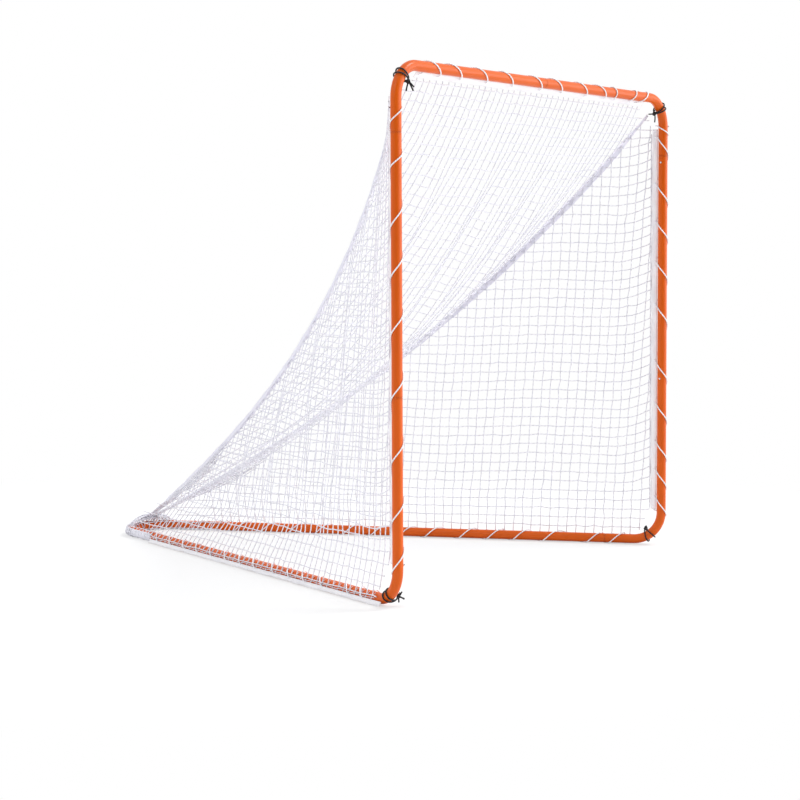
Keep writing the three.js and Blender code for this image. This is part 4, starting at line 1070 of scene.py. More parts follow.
# %% The back panel
def back_chains():
    """Chains for the level rows and the running columns of the back, and its knots."""
    row_u = np.interp(np.arange(first_row, centre_run[-1] - 0.09, mesh_size), centre_run, centre_u)
    half = int(post_x / mesh_size) + 1
    starts = [mesh_size * j for j in range(-half, half + 1)]
    draw = lambda x, u: x * (1 - 0.10 * u)
    slant = lambda x, u: u - 0.050 * x * eased(u, 0.02, 0.35) * (1 - eased(u, 0.75, 0.95))
    slip = {(i, j): chance.normal(0.0, knot_slip, 2) for i in range(len(row_u)) for j in range(len(starts))}
    rows, columns, inside = [], [], {}

    def knot(i, j):
        x = draw(starts[j], row_u[i])
        return x + slip[i, j][0], slant(x, row_u[i]) + slip[i, j][1] * 0.35

    for i, u in enumerate(row_u):
        ends = [float(back_half_width(slant(hand * back_half_width(u), u))) for hand in (-1, 1)]
        if u < 0.012:
            ends = [bar_hem_end, bar_hem_end]
        chain = [(-ends[0], slant(-ends[0], u))]
        for j, x in enumerate(starts):
            if -ends[0] + knot_margin < draw(x, u) < ends[1] - knot_margin:
                chain.append(knot(i, j))
                inside[i, j] = True
        chain.append((ends[1], slant(ends[1], u)))
        rows.append(chain)
    for j, x in enumerate(starts):
        fine = np.linspace(0.0, 1.0, 700)
        ok = np.abs(draw(x, fine)) < back_half_width(fine)
        if ok.sum() < 3:
            continue
        top, bottom = fine[ok][0], fine[ok][-1]
        chain = [(draw(x, top), top)] if abs(x) < 0.79 else []
        chain += [knot(i, j) for i, u in enumerate(row_u) if (i, j) in inside and u > top + 0.002]
        chain.append((draw(x, bottom), bottom))
        if len(chain) > 1:
            columns.append(chain)
    return rows, columns, [knot(i, j) for i, j in inside]


rows, columns, knots = back_chains()
pieces = panel_pieces("back", rows + columns, knots, back_surface, back_facing, "back_net", sides=6)
print(len(rows), "rows,", len(columns), "columns,", len(knots), "knots;",
      [len(p.data.polygons) for p in pieces], "faces")

# %% [markdown]
# ## Snap buttons
# At each joint a steel button stands in a hole through both walls. It is turned from bar: a flange that
# stays inside, a straight shank and a low dome that a thumb can press. A turned part is made in Blender
# by spinning its outline about its axis. The buttons move, so each one rides on its own body.

# %% Steel for the buttons and the springs
def steel_material(name, colour, low, high, bump):
    """Bright or dull steel, with fine turning marks and handling in its gloss."""
    made, tree, skin = fresh_material(name, {"Metallic": 1.0})
    marks = noise(tree, 1500.0)
    darker = tuple(c * 0.86 for c in colour)
    surface_from(tree, skin, two_tone(tree, marks, 0.35, 0.65, darker, colour),
                 spread(tree, noise(tree, 160.0), low, high), marks, bump, 0.0002)
    return made


button_steel = steel_material("bright_button_steel", (0.78, 0.79, 0.81), 0.16, 0.34, 0.06)
spring_steel = steel_material("blued_spring_steel", (0.30, 0.31, 0.34), 0.30, 0.48, 0.12)
print("two steels")


# %% Spin the outline of a button
dome_foot, dome_rise = 0.0200, 0.00195


def button_mesh(name, place, facing):
    """A domed pin on a flange, standing along a direction."""
    outline = [(0.0, 0.01375), (0.0043, 0.01375), (0.0047, 0.0140), (0.0047, 0.0144), (0.0044, 0.01465),
               (0.0039, 0.0148), (0.0039, 0.0190), (0.0038, 0.0198)]
    outline += [(0.0037 * math.cos(a), dome_foot + dome_rise * math.sin(a))
                for a in np.linspace(0.15, math.pi / 2, 7)]
    sides = 32
    turn = facing.to_track_quat("Z", "Y").to_matrix()
    points = []
    for radius, along in outline[1:-1]:
        for k in range(sides):
            a = math.tau * k / sides
            points.append(place + turn @ Vector((radius * math.cos(a), radius * math.sin(a), along)))
    points.append(place + turn @ Vector((0, 0, outline[0][1])))
    points.append(place + turn @ Vector((0, 0, outline[-1][1])))
    rings = len(outline) - 2
    faces = ring_faces(rings, sides)
    for k in range(sides):
        n = (k + 1) % sides
        faces.append((rings * sides, n, k))
        faces.append((rings * sides + 1, (rings - 1) * sides + k, (rings - 1) * sides + n))
    mesh = bpy.data.meshes.new(name)
    mesh.from_pydata(points, [], faces)
    mesh.polygons.foreach_set("use_smooth", [True] * len(mesh.polygons))
    return mesh


for joint, (seam, into, facing) in joints.items():
    name = "turned_" + joint + "_button"
    pin = button_mesh(name, seam + into * button_from_seam, facing)
    piece = put(name, pin, button_steel, joint + "_button")
    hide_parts(joint + "_snap_button")
    spring = nodes[joint + "_button_spring"]
    spring.data.materials.clear()
    spring.data.materials.append(spring_steel)
print(len(joints), "buttons stand", round(dome_foot + dome_rise - tube_radius, 5) * 1000, "mm out of the tube")

# %% [markdown]
# ## Tapes
# Where two panels meet, and along every edge that is laced, a woven polyester tape is sewn over the cut
# twine. A tape is thin, bends along its length and puckers a little at its stitches. A grid of points
# over its middle surface gives full control of that: the grid is bent first, then given a thickness.

# %% A ribbon from a grid of points
def ribbon_arrays(grid, thickness):
    """Closed slab round a grid of points, with texture places along and across."""
    grid = np.asarray(grid, float)
    rows, cols = grid.shape[:2]
    along = np.gradient(grid, axis=0)
    over = np.gradient(grid, axis=1)
    normal = np.cross(along, over)
    normal /= np.maximum(np.linalg.norm(normal, axis=2), 1e-12)[:, :, None]
    edge_thin = np.ones(cols)
    edge_thin[[0, -1]] = 0.45
    offset = normal * (thickness / 2) * edge_thin[None, :, None]
    points = np.concatenate([(grid + offset).reshape(-1, 3), (grid - offset).reshape(-1, 3)])
    index = np.arange(rows * cols).reshape(rows, cols)
    a, b, c, d = index[:-1, :-1], index[1:, :-1], index[1:, 1:], index[:-1, 1:]
    top = np.stack([a, b, c, d], axis=-1).reshape(-1, 4)
    under = rows * cols
    bottom = np.stack([a, d, c, b], axis=-1).reshape(-1, 4) + under
    left = np.stack([index[:-1, 0], index[:-1, 0] + under, index[1:, 0] + under, index[1:, 0]], axis=-1)
    right = np.stack([index[:-1, -1], index[1:, -1], index[1:, -1] + under, index[:-1, -1] + under], axis=-1)
    first = np.stack([index[0, :-1], index[0, 1:], index[0, 1:] + under, index[0, :-1] + under], axis=-1)
    last = np.stack([index[-1, :-1], index[-1, :-1] + under, index[-1, 1:] + under, index[-1, 1:]], axis=-1)
    faces = np.concatenate([top, bottom, left, right, first, last])
    run, wide = run_along(grid[:, cols // 2]), run_along(grid[rows // 2])
    place = np.stack(np.meshgrid(run, wide, indexing="ij"), axis=-1).reshape(-1, 2)
    place = np.concatenate([place, place])
    return points, faces, place[faces]


def ribbon_mesh(name, grid, thickness):
    """One mesh of a ribbon."""
    return quads_mesh(name, [ribbon_arrays(grid, thickness)])


# %% Stitches along an edge
def stitch_arrays(line, normals, pitch=0.007, length=0.0045, radius=0.00035):
    """Short threads that dip at both ends, one after another along a line."""
    line = np.asarray(line, float)
    run = run_along(line)
    parts = []
    shape = np.linspace(0, 1, 4)
    for start in np.arange(pitch / 2, run[-1] - pitch, pitch):
        at = start + shape * length
        chain = np.stack([np.interp(at, run, line[:, k]) for k in range(3)], axis=-1)
        lift = np.stack([np.interp(at, run, normals[:, k]) for k in range(3)], axis=-1)
        chain = chain + lift * (np.sin(np.pi * shape) * 0.0006 - 0.0001)[:, None]
        parts.append(tube_arrays(chain, lift[0], radius, 5))
    return parts


print("ribbon and stitch makers ready")

# %% Woven tape material
def tape_material(name, light, dark):
    """Plain woven tape: fine ribs across, soft colour change, a trace of sheen."""
    made, tree, skin = fresh_material(name, {"Specular IOR Level": 0.25, "Sheen Weight": 0.3,
                                             "Sheen Roughness": 0.45})
    place = strand_place(tree)
    weave = combined(tree, "MULTIPLY", bands(tree, place, "X", 95.0, 0.4), bands(tree, place, "Y", 130.0, 0.4))
    colour, soil = soiled(tree, two_tone(tree, weave, 0.0, 0.5, dark, light), 9.0, (0.93, 0.93, 0.95))
    surface_from(tree, skin, colour, spread(tree, soil, 0.72, 0.88), weave, 0.45, 0.0005)
    return made


seam_tape_cloth = tape_material("lavender_white_tape", (0.90, 0.885, 0.955), (0.80, 0.785, 0.88))
# The thread's darker colour is painted shade in the grooves of its twist.
thread_look = twine_material("sewing_thread", (0.94, 0.93, 0.96), (0.84, 0.83, 0.88), 0.0016, 0.7, 0.3, 0.1)
print("tape and thread ready")

# %% [markdown]
# ## Seam tapes
# A seam tape is folded over the joint of a side panel and the back, so its section is a wide V whose
# wings lie on the two nets. It is bunched where it is tied at the top corner, opens out to its full
# width along the way, and gathers again at the rear.

# %% Directions of the two nets beside the seam
def seam_frame(u, hand):
    """Place on the seam, its direction, and unit vectors into the side panel and into the back."""
    at = np.array([np.interp(u, rail_share, seam_world[:, k]) for k in range(3)])
    ahead = np.array([np.interp(min(u + 0.004, 1), rail_share, seam_world[:, k]) for k in range(3)])
    behind = np.array([np.interp(max(u - 0.004, 0), rail_share, seam_world[:, k]) for k in range(3)])
    way = (ahead - behind) / np.linalg.norm(ahead - behind)
    place = at + np.array(shift[:])
    along, _, height = rail_place(Vector(at))
    panel = side_surface(max(along - 0.05, hem_edge * 0.5), height - 0.01, 1) - place
    back = back_surface(max(at[0] - 0.04, 0.0), min(u + 0.002, 1.0)) - place
    units = []
    for wing in (panel, back):
        wing = wing - way * wing.dot(way)
        units.append(wing / max(np.linalg.norm(wing), 1e-9))
    flip = np.array([hand, 1.0, 1.0])
    return place * flip, way * flip, units[0] * flip, units[1] * flip


def smooth_rows(values, passes=6):
    """Evens out a list of directions along the tape."""
    values = np.array(values)
    for _ in range(passes):
        padded = np.concatenate([values[:1], values, values[-1:]])
        values = (padded[:-2] + 2 * padded[1:-1] + padded[2:]) / 4
    return values / np.linalg.norm(values, axis=1)[:, None]


def seam_tape_grid(hand):
    """Grid of the tape's middle surface, from the edge on the side panel to the edge on the back."""
    us = np.linspace(0.0, 1.0, 420)
    frames = [seam_frame(u, hand) for u in us]
    places = np.array([f[0] for f in frames])
    sides, backs = smooth_rows([f[2] for f in frames]), smooth_rows([f[3] for f in frames])
    run = run_along(places)
    widths = 0.007 + 0.0125 * eased(run, 0.02, 0.22) + 0.002 * eased(run, 1.9, 2.5)
    widths = widths - 0.008 * eased(run, run[-1] - 0.10, run[-1])
    across_steps = np.linspace(-1, 1, 11)
    grid = np.empty((len(us), len(across_steps), 3))
    outer = -(sides + backs)
    outer /= np.maximum(np.linalg.norm(outer, axis=1), 0.2)[:, None]
    seed = 0.8 if hand > 0 else 2.3
    for k, v in enumerate(across_steps):
        wing = sides if v < 0 else backs
        ripple = 0.0014 * np.sin(run * 29 + 3 * v + seed) + 0.0010 * np.sin(run * 67 - 2 * v + 2 * seed)
        pucker = 0.0006 * abs(v) * np.sin(run * 430 + 2 * v)
        lift = 0.0042 - 0.0016 * abs(v) + ripple * 0.5 + pucker
        uneven = 1 + 0.05 * np.sin(run * 11 + seed * 3 * np.sign(v))
        grid[:, k] = places + wing * (widths * uneven * abs(v))[:, None] + outer * lift[:, None]
    return grid, outer


for side, hand in hands:
    grid, outer = seam_tape_grid(hand)
    name = "sewn_" + side + "_seam_tape"
    tape = put(name, ribbon_mesh(name, grid, 0.0010), seam_tape_cloth)
    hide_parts(side + "_seam_tape")
    parts = []
    for edge_column in (1, 9):
        parts += stitch_arrays(grid[6:-6, edge_column] + outer[6:-6] * 0.0006, outer[6:-6])
    thread = put_tubes(side + "_seam_stitching", parts, thread_look)
    print(side, "seam tape is", round(run_along(grid[:, 5])[-1], 2), "m long, with", len(parts), "stitches")

# %% [markdown]
# ## Hem tapes
# Each laced edge of the net ends in a folded tape, and the lacing cord goes through it. Between two turns
# of the cord the tape hangs free and bows a little, and at each turn it is pulled to the tube.

# %% Hem of the crossbar, the posts and the rails
def hem_grid(origin, way, near, far, start, stop, turns, seed):
    """Grid of a hem between two directions out of a tube's axis, pulled in at each turn."""
    stations = np.linspace(start, stop, int((stop - start) / 0.006) + 1)
    gaps = np.array([np.min(np.abs(np.asarray(turns) - s)) for s in stations])
    free = 1 - np.exp(-(gaps / 0.022) ** 2)
    steps = np.linspace(0, 1, 7)
    lean = np.cross(way, far - near)
    lean /= np.linalg.norm(lean)
    sway = 0.0016 * np.sin(stations * 31 + seed) + 0.0011 * np.sin(stations * 83 + 2 * seed)
    reach = 1 + 0.05 * np.sin(stations * 17 + seed) - 0.10 * (1 - free)
    pull = 0.0005 + 0.0012 * free
    base = origin + stations[:, None] * way
    grid = base[:, None, :] + near + (far - near) * (steps[None, :, None] * reach[:, None, None])
    bow = (sway[:, None] * steps[None, :] + pull[:, None] * np.sin(math.pi * steps)[None, :])
    ripple = 0.0005 * np.sin(stations * 410)[:, None] * (steps ** 2)[None, :]
    return grid + (bow + ripple)[:, :, None] * lean


# The hem tape's colour is set at full white, brighter than the seam tape: partly the tape's own white, partly
# painted light standing in for light that shines through the thin tape.
hem_cloth = tape_material("white_hem_tape", (1.0, 0.995, 1.0), (0.97, 0.96, 0.98))


def sewn_hem(name, grid, node, hand=1):
    """The tape and its two rows of stitches, as two pieces."""
    flip = np.array([hand, 1.0, 1.0])
    grid = grid * flip
    if hand < 0:
        grid = grid[:, ::-1]
    tape = put(name, ribbon_mesh(name, grid, 0.0012), hem_cloth)
    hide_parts(node)
    normal = np.cross(np.gradient(grid, axis=0), np.gradient(grid, axis=1))
    normal /= np.linalg.norm(normal, axis=2)[:, :, None]
    parts = []
    for column in (1, 5):
        for face in (1, -1):
            line = grid[:, column] + normal[:, column] * 0.0006 * face
            parts += stitch_arrays(line[2:-2], normal[2:-2, column] * face, 0.008, 0.0052)
    thread = put_tubes(name + "_stitching", parts, thread_look)
    return len(parts)


post_turns = {1: [0.161, 0.276, 0.394, 0.553, 0.724, 0.961, 1.139, 1.305, 1.457, 1.656, 1.722],
              -1: [0.161, 0.330, 0.533, 0.750, 0.970, 1.162, 1.331, 1.521, 1.672]}
post_leans = {1: [0.042] * 10 + [0.020], -1: [0.042] * 7 + [0.028, 0.030]}
rail_turns = [0.197, 0.291, 0.479, 0.609, 0.722, 0.844, 0.995, 1.112, 1.236, 1.362, 1.488, 1.610, 1.738, 1.862]
bar_turns = [-0.715, -0.586, -0.423, -0.255, -0.056, 0.088, 0.273, 0.417, 0.516, 0.672, 0.762]
bar_leans = [0.042] * 8 + [0.006, -0.024, -0.036]
vec = lambda v: np.array(v[:])
bar_origin = vec(Vector((0, 0, crossbar_z)) + shift)
post_origin = vec(Vector((post_x, 0, 0)) + shift)
rail_origin = vec(Vector((post_x, 0, rail_z)) + shift)
hem_way = vec(crossbar_hem_way)
hem_near, hem_far = 0.0205, 0.0462
post_hem = (0.1509, 1.727)
rail_hem = (0.075, 1.943)
grid = hem_grid(bar_origin, np.array([1.0, 0, 0]), hem_way * hem_near, hem_way * hem_far,
                -bar_hem_end, bar_hem_end, bar_turns, 0.4)
stitches = sewn_hem("sewn_crossbar_hem", grid, "crossbar_hem")
for side, hand in hands:
    grid = hem_grid(post_origin, vec(up), vec(rail_way) * hem_near, vec(rail_way) * hem_far,
                    *post_hem, post_turns[hand], 1.3 * hand)
    stitches += sewn_hem("sewn_" + side + "_post_hem", grid, side + "_post_hem", hand)
    near = vec(outward) * 0.0214 + vec(up) * (0.0165 - rail_z)
    far = vec(outward) * 0.0330 + vec(up) * (0.0027 - rail_z)
    grid = hem_grid(rail_origin, vec(rail_way), near, far, *rail_hem, rail_turns, 2.1 * hand)
    stitches += sewn_hem("sewn_" + side + "_rail_hem", grid, side + "_rail_hem", hand)
print("five hems,", stitches, "stitches")

# %% The foot of each side panel, drawn down over the outer side of the rail to its hem
def strand(points):
    """A smooth chain through a few points."""
    points = np.array(points, float)
    t = np.linspace(0, len(points) - 1, (len(points) - 1) * 4 + 1)
    chain = np.stack([np.interp(t, np.arange(len(points)), points[:, k]) for k in range(3)], axis=-1)
    for _ in range(3):
        chain[1:-1] = (chain[:-2] + 2 * chain[1:-1] + chain[2:]) / 4
    return chain


foot_twine_radius = 0.00115
for side, hand in hands:
    flip = np.array([hand, 1.0, 1.0])

    def beside(a, out, z):
        return (rail_origin + vec(rail_way) * a + vec(outward) * out + np.array([0, 0, z - rail_z])) * flip

    parts, tied = [], []
    for foot in np.arange(hem_edge + 0.010 + 2 * mesh_size, 1.99, mesh_size):
        wobble = chance.normal(0, 0.0018, 3)
        chain = strand([beside(foot - 0.004 + wobble[0], 0.0100, 0.0405), beside(foot, 0.0203, 0.0300),
                        beside(foot + 0.005 + wobble[1], 0.0212, 0.0225),
                        beside(foot + 0.010 + wobble[2], 0.0218, 0.0150)])
        parts.append(tube_arrays(chain, (0, 0.2, 1), foot_twine_radius, 6))
        tied.append(beside(foot + 0.005, 0.0214, 0.0225))
    line = [beside(a, 0.0214, 0.0225 + 0.0016 * math.sin(60 * a)) for a in np.arange(0.12, 1.99, 0.012)]
    parts.append(tube_arrays(np.array(line), (0, 0.2, 1), foot_twine_radius, 6))
    foot_net = put_tubes(side + "_foot_twine", parts, net_twine)
    ways, facings = (np.tile(way, (len(tied), 1)) for way in ([0.3, 1.0, 0.2], [hand * 1.0, 0.3, 0.4]))
    lumps = put_knots(side + "_foot_knots", np.array(tied), ways, facings)
    for piece in (foot_net, lumps):
        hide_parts(side + "_side_net")
print(len(parts), "strands over each rail")

# %% The corded edge of each side panel, with a knot where each row is tied to it
edge_rows = 39
for side, hand in hands:
    edge_line = side_surface(np.full(320, hem_edge + 0.0012), np.linspace(0.165, 1.705, 320), hand)
    cord = tube_arrays(edge_line, (outward.x * hand, outward.y, 0.0), 0.0021, 8)
    edge_cord = put_tubes(side + "_edge_cord", [cord], net_twine)
    heights = row_heights[4:43] + chance.normal(0, 0.002, edge_rows)
    tied = side_surface(np.full(edge_rows, hem_edge + 0.0022), heights, hand)
    ways = np.tile([0.0, 1.0, 0.0], (edge_rows, 1)) + chance.normal(0, 0.3, (edge_rows, 3))
    facings = np.tile([hand * 1.0, 0.3, 0.1], (edge_rows, 1))
    edge_knots = put_knots(side + "_edge_knots", tied, ways, facings)
    for piece in (edge_cord, edge_knots):
        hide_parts(side + "_side_net")
print("edge cords tied at", len(tied), "rows a side")

# %% [markdown]
# ## Lacing cords
# A white braided cord winds round each tube and through the hem beside it. Round the open side it lies
# tight on the tube, so its section is a circle, and towards the hem it leaves the tube in two straight
# lines that meet in the hem. Its turns are where the photograph shows them: they were tied by hand and
# aren't even.

# %% One lacing cord
def lacing_chain(origin, way, hem_side, third, turns, shown, hem_reach, start, stop, lean, tight=0.0216):
    """Points of a cord that winds about a tube. Shown is the angle at which each turn's place is given."""
    angles, places = [shown - 1.5 * math.pi], [start]
    leans = np.broadcast_to(lean, len(turns))
    for number, place in enumerate(turns):
        middle = shown + math.tau * number
        angles += [middle - math.pi / 2, middle, middle + math.pi / 2]
        places += [place - leans[number], place, place + leans[number]]
    angles.append(shown + math.tau * (len(turns) - 1) + 1.5 * math.pi)
    places.append(stop)
    fine = np.arange(angles[0], angles[-1], math.tau / 72)
    along = np.interp(fine, angles, places)
    for _ in range(10):
        padded = np.concatenate([along[:1], along, along[-1:]])
        along = (padded[:-2] + padded[1:-1] + padded[2:]) / 3
    wrapped = (fine + math.pi) % math.tau - math.pi
    leave = math.acos(tight / hem_reach)
    bend = np.sqrt(wrapped ** 2 + 0.0036)
    radius = tight / np.cos(np.clip(leave - bend, 0, leave))
    section = hem_side[None, :] * np.cos(fine)[:, None] + third[None, :] * np.sin(fine)[:, None]
    return origin + way[None, :] * along[:, None] + section * radius[:, None]


# The cord's darker colour is painted shade in the grooves of its braid.
cord_look = twine_material("white_braided_cord", (0.97, 0.97, 0.98), (0.80, 0.80, 0.84), 0.0045, 0.62, 0.5, 0.2)


def clearance(chain):
    """Least distance from a cord's middle line to the tip of any button."""
    tips = [vec(seam + into * button_from_seam + facing * 0.0205) for seam, into, facing in joints.values()]
    return min(float(np.min(np.linalg.norm(chain - tip, axis=1))) for tip in tips)


def cord_piece(node, chain, facing):
    """A round cord along a chain of points, its ends cut square."""
    name = "wound_" + node
    piece = put_tubes(name, [tube_arrays(chain, facing, lace_radius, 12)], cord_look)
    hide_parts(node)
    print(node, round(run_along(chain)[-1], 2), "m, clear of buttons by", round(clearance(chain) * 1000, 1), "mm")


lace_radius = 0.0023
lace_reach, rail_lace_reach, rail_lace_tight = 0.034, 0.0282, 0.0242
ground_clear = 0.0026
turn_lean = 0.042
post_shown, rail_shown = {1: 256, -1: 148}, {1: 184, -1: 350}
post_ends = {1: (post_turns[1][0] - 0.012, 1.738), -1: (0.155, 1.70)}
chain = lacing_chain(bar_origin, np.array([1.0, 0, 0]), hem_way, np.cross([1.0, 0, 0], hem_way), bar_turns,
                     math.radians(225), lace_reach, -0.785, 0.735, bar_leans)
cord_piece("crossbar_lacing", chain, (0, 0.3, 1))
for side, hand in hands:
    flip = np.array([hand, 1.0, 1.0])
    chain = lacing_chain(post_origin, vec(up), vec(rail_way), vec(outward), post_turns[hand],
                         math.radians(post_shown[hand]), lace_reach, *post_ends[hand], post_leans[hand]) * flip
    cord_piece(side + "_post_lacing", chain, (0.3, 1, 0))
    chain = lacing_chain(rail_origin, vec(rail_way), vec(outward), vec(up), rail_turns,
                         math.radians(rail_shown[hand]), rail_lace_reach, 0.150, 1.920, turn_lean,
                         rail_lace_tight) * flip
    chain[:, 2] = np.maximum(chain[:, 2], ground_clear)
    cord_piece(side + "_rail_lacing", chain, (0, 0, 1))

# %% [markdown]
# ## The tail of the net
# At the rear the two seams and the back run out into a tail of spare netting. It is pulled tight, laid
# round the V of the frame and knotted there, so the bare tube doesn't show. A bundle of netting is
# thick and lumpy, with the strands lying over one another on a packed core. The core is a sleeve with an
# uneven skin, and the strands are wound over it at many slants.

# %% Places round the rear V
apex_legs = list(legs)
apex_length = path_length(apex_legs)
seam_tip = (seam_world[-1] + vec(shift)) * np.array([0.0, 1.0, 1.0])


wrap_radius, over_wrap = 0.0209, 0.0222


def round_v(d, angle, radius):
    """A point beside the rear V: distance along it, angle up from its outer side, and distance out."""
    place, way = on_path(apex_legs, d)
    outer = way.cross(up)
    point = place + (outer * math.cos(angle) + up * math.sin(angle)) * radius
    return [point.x, point.y, max(point.z, 0.0018)]


pick = np.random.default_rng(7)
core_points, around = [], 36
core_rings = np.linspace(-0.106, apex_length + 0.106, 150)
for number, d in enumerate(core_rings):
    ending = min(number, len(core_rings) - 1 - number)
    for k in range(around):
        a = math.tau * k / around
        lump = 0.0009 * math.sin(5 * a + d * 90) + 0.0007 * math.sin(3 * a - d * 210)
        lump += 0.0005 * math.sin(9 * a + d * 400)
        turned = (a + math.pi) % math.tau - math.pi
        over = float(eased(turned, -2.6, -2.2) * (1 - eased(turned, 0.55, 1.05)))
        radius = 0.0184 + (0.0030 + lump) * over * min(1.0, 0.25 + ending / 3)
        core_points.append(round_v(d, a, radius))
core_mesh = bpy.data.meshes.new("gather_core")
core_mesh.from_pydata(core_points, [], ring_faces(len(core_rings), around))
core_mesh.polygons.foreach_set("use_smooth", [True] * len(core_mesh.polygons))
bundle_cloth = knot_material("bundled_net", (0.90, 0.89, 0.94), (0.70, 0.69, 0.77))
core = put("gather_core", core_mesh, bundle_cloth)
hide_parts("rear_net_gather")
print("core of the tail is", round(core_rings[-1] - core_rings[0], 3), "m long round the V")

# %% Strands of the tail
def tail_strand(points, hand=1, sides=7):
    """One strand of the tail, on the right or the left half."""
    return tube_arrays(strand(points) * np.array([hand, 1, 1]), (0.13, 0.21, 1), twine_radius, sides)


def across_v(share):
    """Distance along the V of a strand that runs up to the seams."""
    return 0.110 + share * (apex_length - 0.220)


parts = []
for number in range(26):
    d, a = pick.uniform(0.075, apex_length - 0.085), pick.uniform(-2.2, -0.2)
    slant, turn_by = pick.uniform(-0.045, 0.045), pick.uniform(0.8, 2.2)
    parts.append(tail_strand([round_v(d + slant * t, a + turn_by * t, 0.0226 + 0.0016 * math.sin(9 * t + number))
                              for t in np.linspace(0, 1, 14)]))
for hand in (1, -1):
    for number, d in enumerate(np.arange(-0.118, apex_length / 2 - 0.004, 0.0310)):
        # A strand whose middle would lie on the rear button is moved along the tube.
        if abs(d + 0.010 + button_from_seam) < 0.0085:
            d -= 0.0120
        wound = [round_v(d + 0.020 * t + 0.002 * math.sin(7 * t + number), -0.35 + 3.9 * t, wrap_radius)
                 for t in np.linspace(0, 1, 16)]
        parts.append(tail_strand(wound, hand))
    for a in (0.62, 2.30):
        parts.append(tail_strand([round_v(d, a + 0.10 * math.sin(d * 60 + a * 3), wrap_radius)
                                  for d in np.linspace(-0.120, apex_length / 2, 24)], hand))
for number in range(54):
    share = (number + pick.uniform(0.1, 0.9)) / 54
    d = across_v(share)
    a = pick.uniform(-0.2, 1.1)
    foot = np.array(round_v(d, a, over_wrap))
    tip = seam_tip + np.array([(share - 0.5) * -0.030, pick.uniform(-0.012, 0.004), pick.uniform(-0.014, 0.010)])
    middle = foot * 0.5 + tip * 0.5 + np.array([(share - 0.5) * -0.035, 0.004, pick.uniform(0.002, 0.014)])
    low = foot * 0.82 + tip * 0.18 + np.array([0, 0.003, 0.006])
    parts.append(tail_strand([round_v(d, a - 0.7, over_wrap), foot, low, middle, tip]))
for level in np.linspace(0.12, 0.9, 9):
    points = []
    for share in np.linspace(0.02, 0.98, 22):
        foot = np.array(round_v(across_v(share), 0.9, 0.0225))
        tip = seam_tip + np.array([(share - 0.5) * -0.030, 0, 0])
        sag = np.array([0, 0.003 * math.sin(share * 19 + level * 9), 0.010 * math.sin(math.pi * level)])
        points.append(foot * (1 - level) + tip * level + sag)
    parts.append(tail_strand(points))
for hand in (1, -1):
    for wing in (2, 3):
        for number in range(9):
            offset, points = 0.010 + 0.0048 * number, []
            for t in np.linspace(0.70 + 0.012 * number, 1.0, 15):
                frame_here = seam_frame(t, hand)
                narrow = 1 - 0.72 * float(eased(t, 0.80, 1.0))
                wave = 0.0025 * math.sin(40 * t + 2.1 * number + wing)
                on_wing = frame_here[wing] * (offset * narrow + wave)
                points.append(frame_here[0] + on_wing - frame_here[5 - wing] * 0.0022)
            points.append(seam_tip + np.array([hand * 0.004, 0.008, -0.012]))
            parts.append(tail_strand(points, sides=6))
tail = put_tubes("gather_strands", parts, net_twine)
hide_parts("rear_net_gather")
print(len(parts), "strands in the tail,", len(tail.data.polygons), "faces")

# %% [markdown]
# ## Corner ties
# At each of the four bends a length of black cord goes twice round the tube and the corner of the net,
# and ends in a knot inside the mouth with short cut tails. The two turns spread on the outer side of the
# bend and come together at the knot. Each tie was made by hand, so the tails differ.

# %% Black cord
# The braid is painted a little lighter on its ridges and darker in its grooves: a painted highlight and painted
# shade.
black_cord, tree, skin = fresh_material("black_braided_cord", {"Specular IOR Level": 0.35})
braid = twist(tree, 0.0035, 3.0, 0.5)
surface_from(tree, skin, two_tone(tree, braid, 0.2, 0.8, (0.006, 0.006, 0.007), (0.022, 0.021, 0.022)),
             spread(tree, braid, 0.72, 0.5), braid, 0.5, 0.0005)
tie_radius = 0.0027


def tie_chains(centre, along, knot_way, seed, tails, spread_out=0.008):
    """Chains of one tie: two turns round the tube, a knot, and its tails."""
    cross = np.cross(along, knot_way)
    chains = []
    for sign in (1, -1):
        points = []
        for t in np.linspace(0, 1, 49):
            a = math.tau * t
            near = (1 + math.cos(a)) / 2
            radius = 0.0226 + 0.0066 * near ** 6
            apart = sign * (tie_radius + spread_out * (1 - near))
            points.append(centre + (knot_way * math.cos(a) + cross * math.sin(a)) * radius + along * apart)
        chains.append(np.array(points))
    knot = centre + knot_way * 0.0335
    for number, sign in enumerate((1, -1)):
        points = []
        for t in np.linspace(0, 1, 33):
            a = math.tau * t
            points.append(knot + (along * math.cos(a) + cross * math.sin(a) * 0.85) * 0.0062
                          + knot_way * (0.0034 * math.sin(2 * a + 1.4 * number) + sign * 0.0022))
        chains.append(np.array(points))
    for tail_along, tail_cross, tail_out, length in tails:
        way = along * tail_along + cross * tail_cross + knot_way * tail_out
        way = way / np.linalg.norm(way)
        curl = np.cross(way, along * 0.6 + cross * 0.3 + knot_way * 0.7)
        curl /= np.linalg.norm(curl)
        points = []
        for t in np.linspace(0, 1, 9):
            point = knot + way * (length * t) + curl * (0.005 * math.sin(2.2 * t + seed) - 0.005 * math.sin(seed))
            point = point - np.array([0, 0, 0.006 * t * t])
            point[2] = max(point[2], tie_radius + 0.0004)
            points.append(point)
        chains.append(strand(points))
    return chains


def tie_piece(name, chains, node):
    """All the cords of one tie as one piece."""
    parts = []
    for chain in chains:
        facing = (0.21, 0.34, 0.92) if abs(chain[0][2] - chain[-1][2]) < 0.02 else (0.8, 0.5, 0.3)
        parts.append(tube_arrays(chain, facing, tie_radius, 12))
    piece = put_tubes(name, parts, black_cord)
    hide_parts(node)
    return sum(run_along(chain)[-1] for chain in chains)


print("black cord is", tie_radius * 2000, "mm thick")

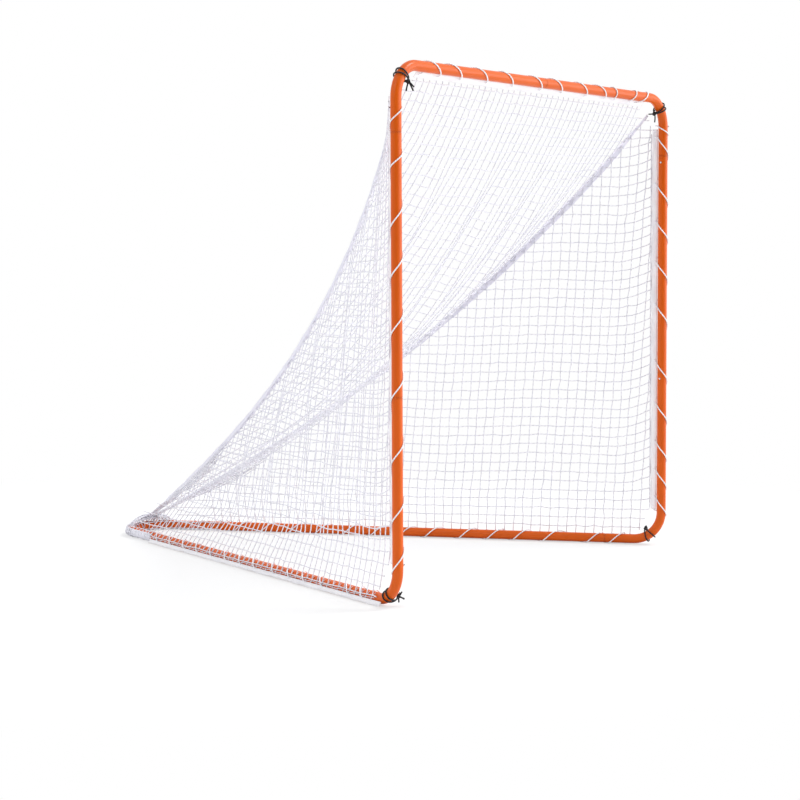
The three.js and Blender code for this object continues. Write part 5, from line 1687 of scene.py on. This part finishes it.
# %% Four ties at their bends
top_angle, foot_angle = math.radians(42), math.radians(56)
for side, hand in reversed(hands):
    flip = np.array([hand, 1.0, 1.0])
    bend_centre = vec(Vector((post_x - corner_bend, 0, crossbar_z - corner_bend)) + shift)
    out_way = np.array([math.cos(top_angle), 0, math.sin(top_angle)])
    centre = (bend_centre + out_way * corner_bend) * flip
    along = np.array([-math.sin(top_angle), 0, math.cos(top_angle)]) * flip
    inward = (-out_way * 0.93 + np.array([0, -0.42 if hand < 0 else 0.36, 0])) * flip
    inward /= np.linalg.norm(inward)
    tails = ([(0.5, 0.7, 0.6, 0.024), (-0.6, 0.5, 0.7, 0.028), (0.1, -0.7, 0.8, 0.022), (-0.3, -0.4, 1.0, 0.03)]
             if hand < 0 else [(-0.8, 0.3, 0.5, 0.030), (0.3, -0.6, 0.6, 0.024)])
    chains = tie_chains(centre, along, inward, 3 + hand, tails)
    length = tie_piece("tied_top_" + side + "_tie", chains, "top_" + side + "_tie")
    foot_centre = rail_origin + vec(up) * corner_bend + vec(rail_way) * corner_bend
    out_way = -vec(rail_way) * math.cos(foot_angle) - vec(up) * math.sin(foot_angle)
    centre = (foot_centre + out_way * corner_bend) * flip
    along = (vec(rail_way) * math.sin(foot_angle) - vec(up) * math.cos(foot_angle)) * flip
    inward = np.array([-0.86, -0.50, -0.10]) * flip if hand < 0 else np.array([0.25, 0.75, 0.60])
    inward = inward - along * inward.dot(along)
    inward /= np.linalg.norm(inward)
    tails = ([(0.9, 0.4, 0.4, 0.022), (-0.8, 0.6, 0.5, 0.024), (0.3, -0.9, 0.5, 0.026),
              (-0.7, -0.7, 0.4, 0.022), (0.1, 0.2, 1.0, 0.022)]
             if hand < 0 else [(0.6, 0.3, 0.3, 0.016), (-0.5, 0.4, 0.5, 0.014)])
    spread_out = 0.010 if hand < 0 else 0.014
    chains = tie_chains(centre, along, inward, 11 + hand, tails, spread_out)
    length += tie_piece("tied_bottom_" + side + "_tie", chains, "bottom_" + side + "_tie")
    print(side, "ties use", round(length, 2), "m of black cord")

# %% [markdown]
# ## Size and finish
# The box round the finished piece is measured, leaving out the floor. It should be the same box as the
# model's, with only a little slack for cord ends and folds.

# %% The box of the finished piece
low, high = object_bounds()
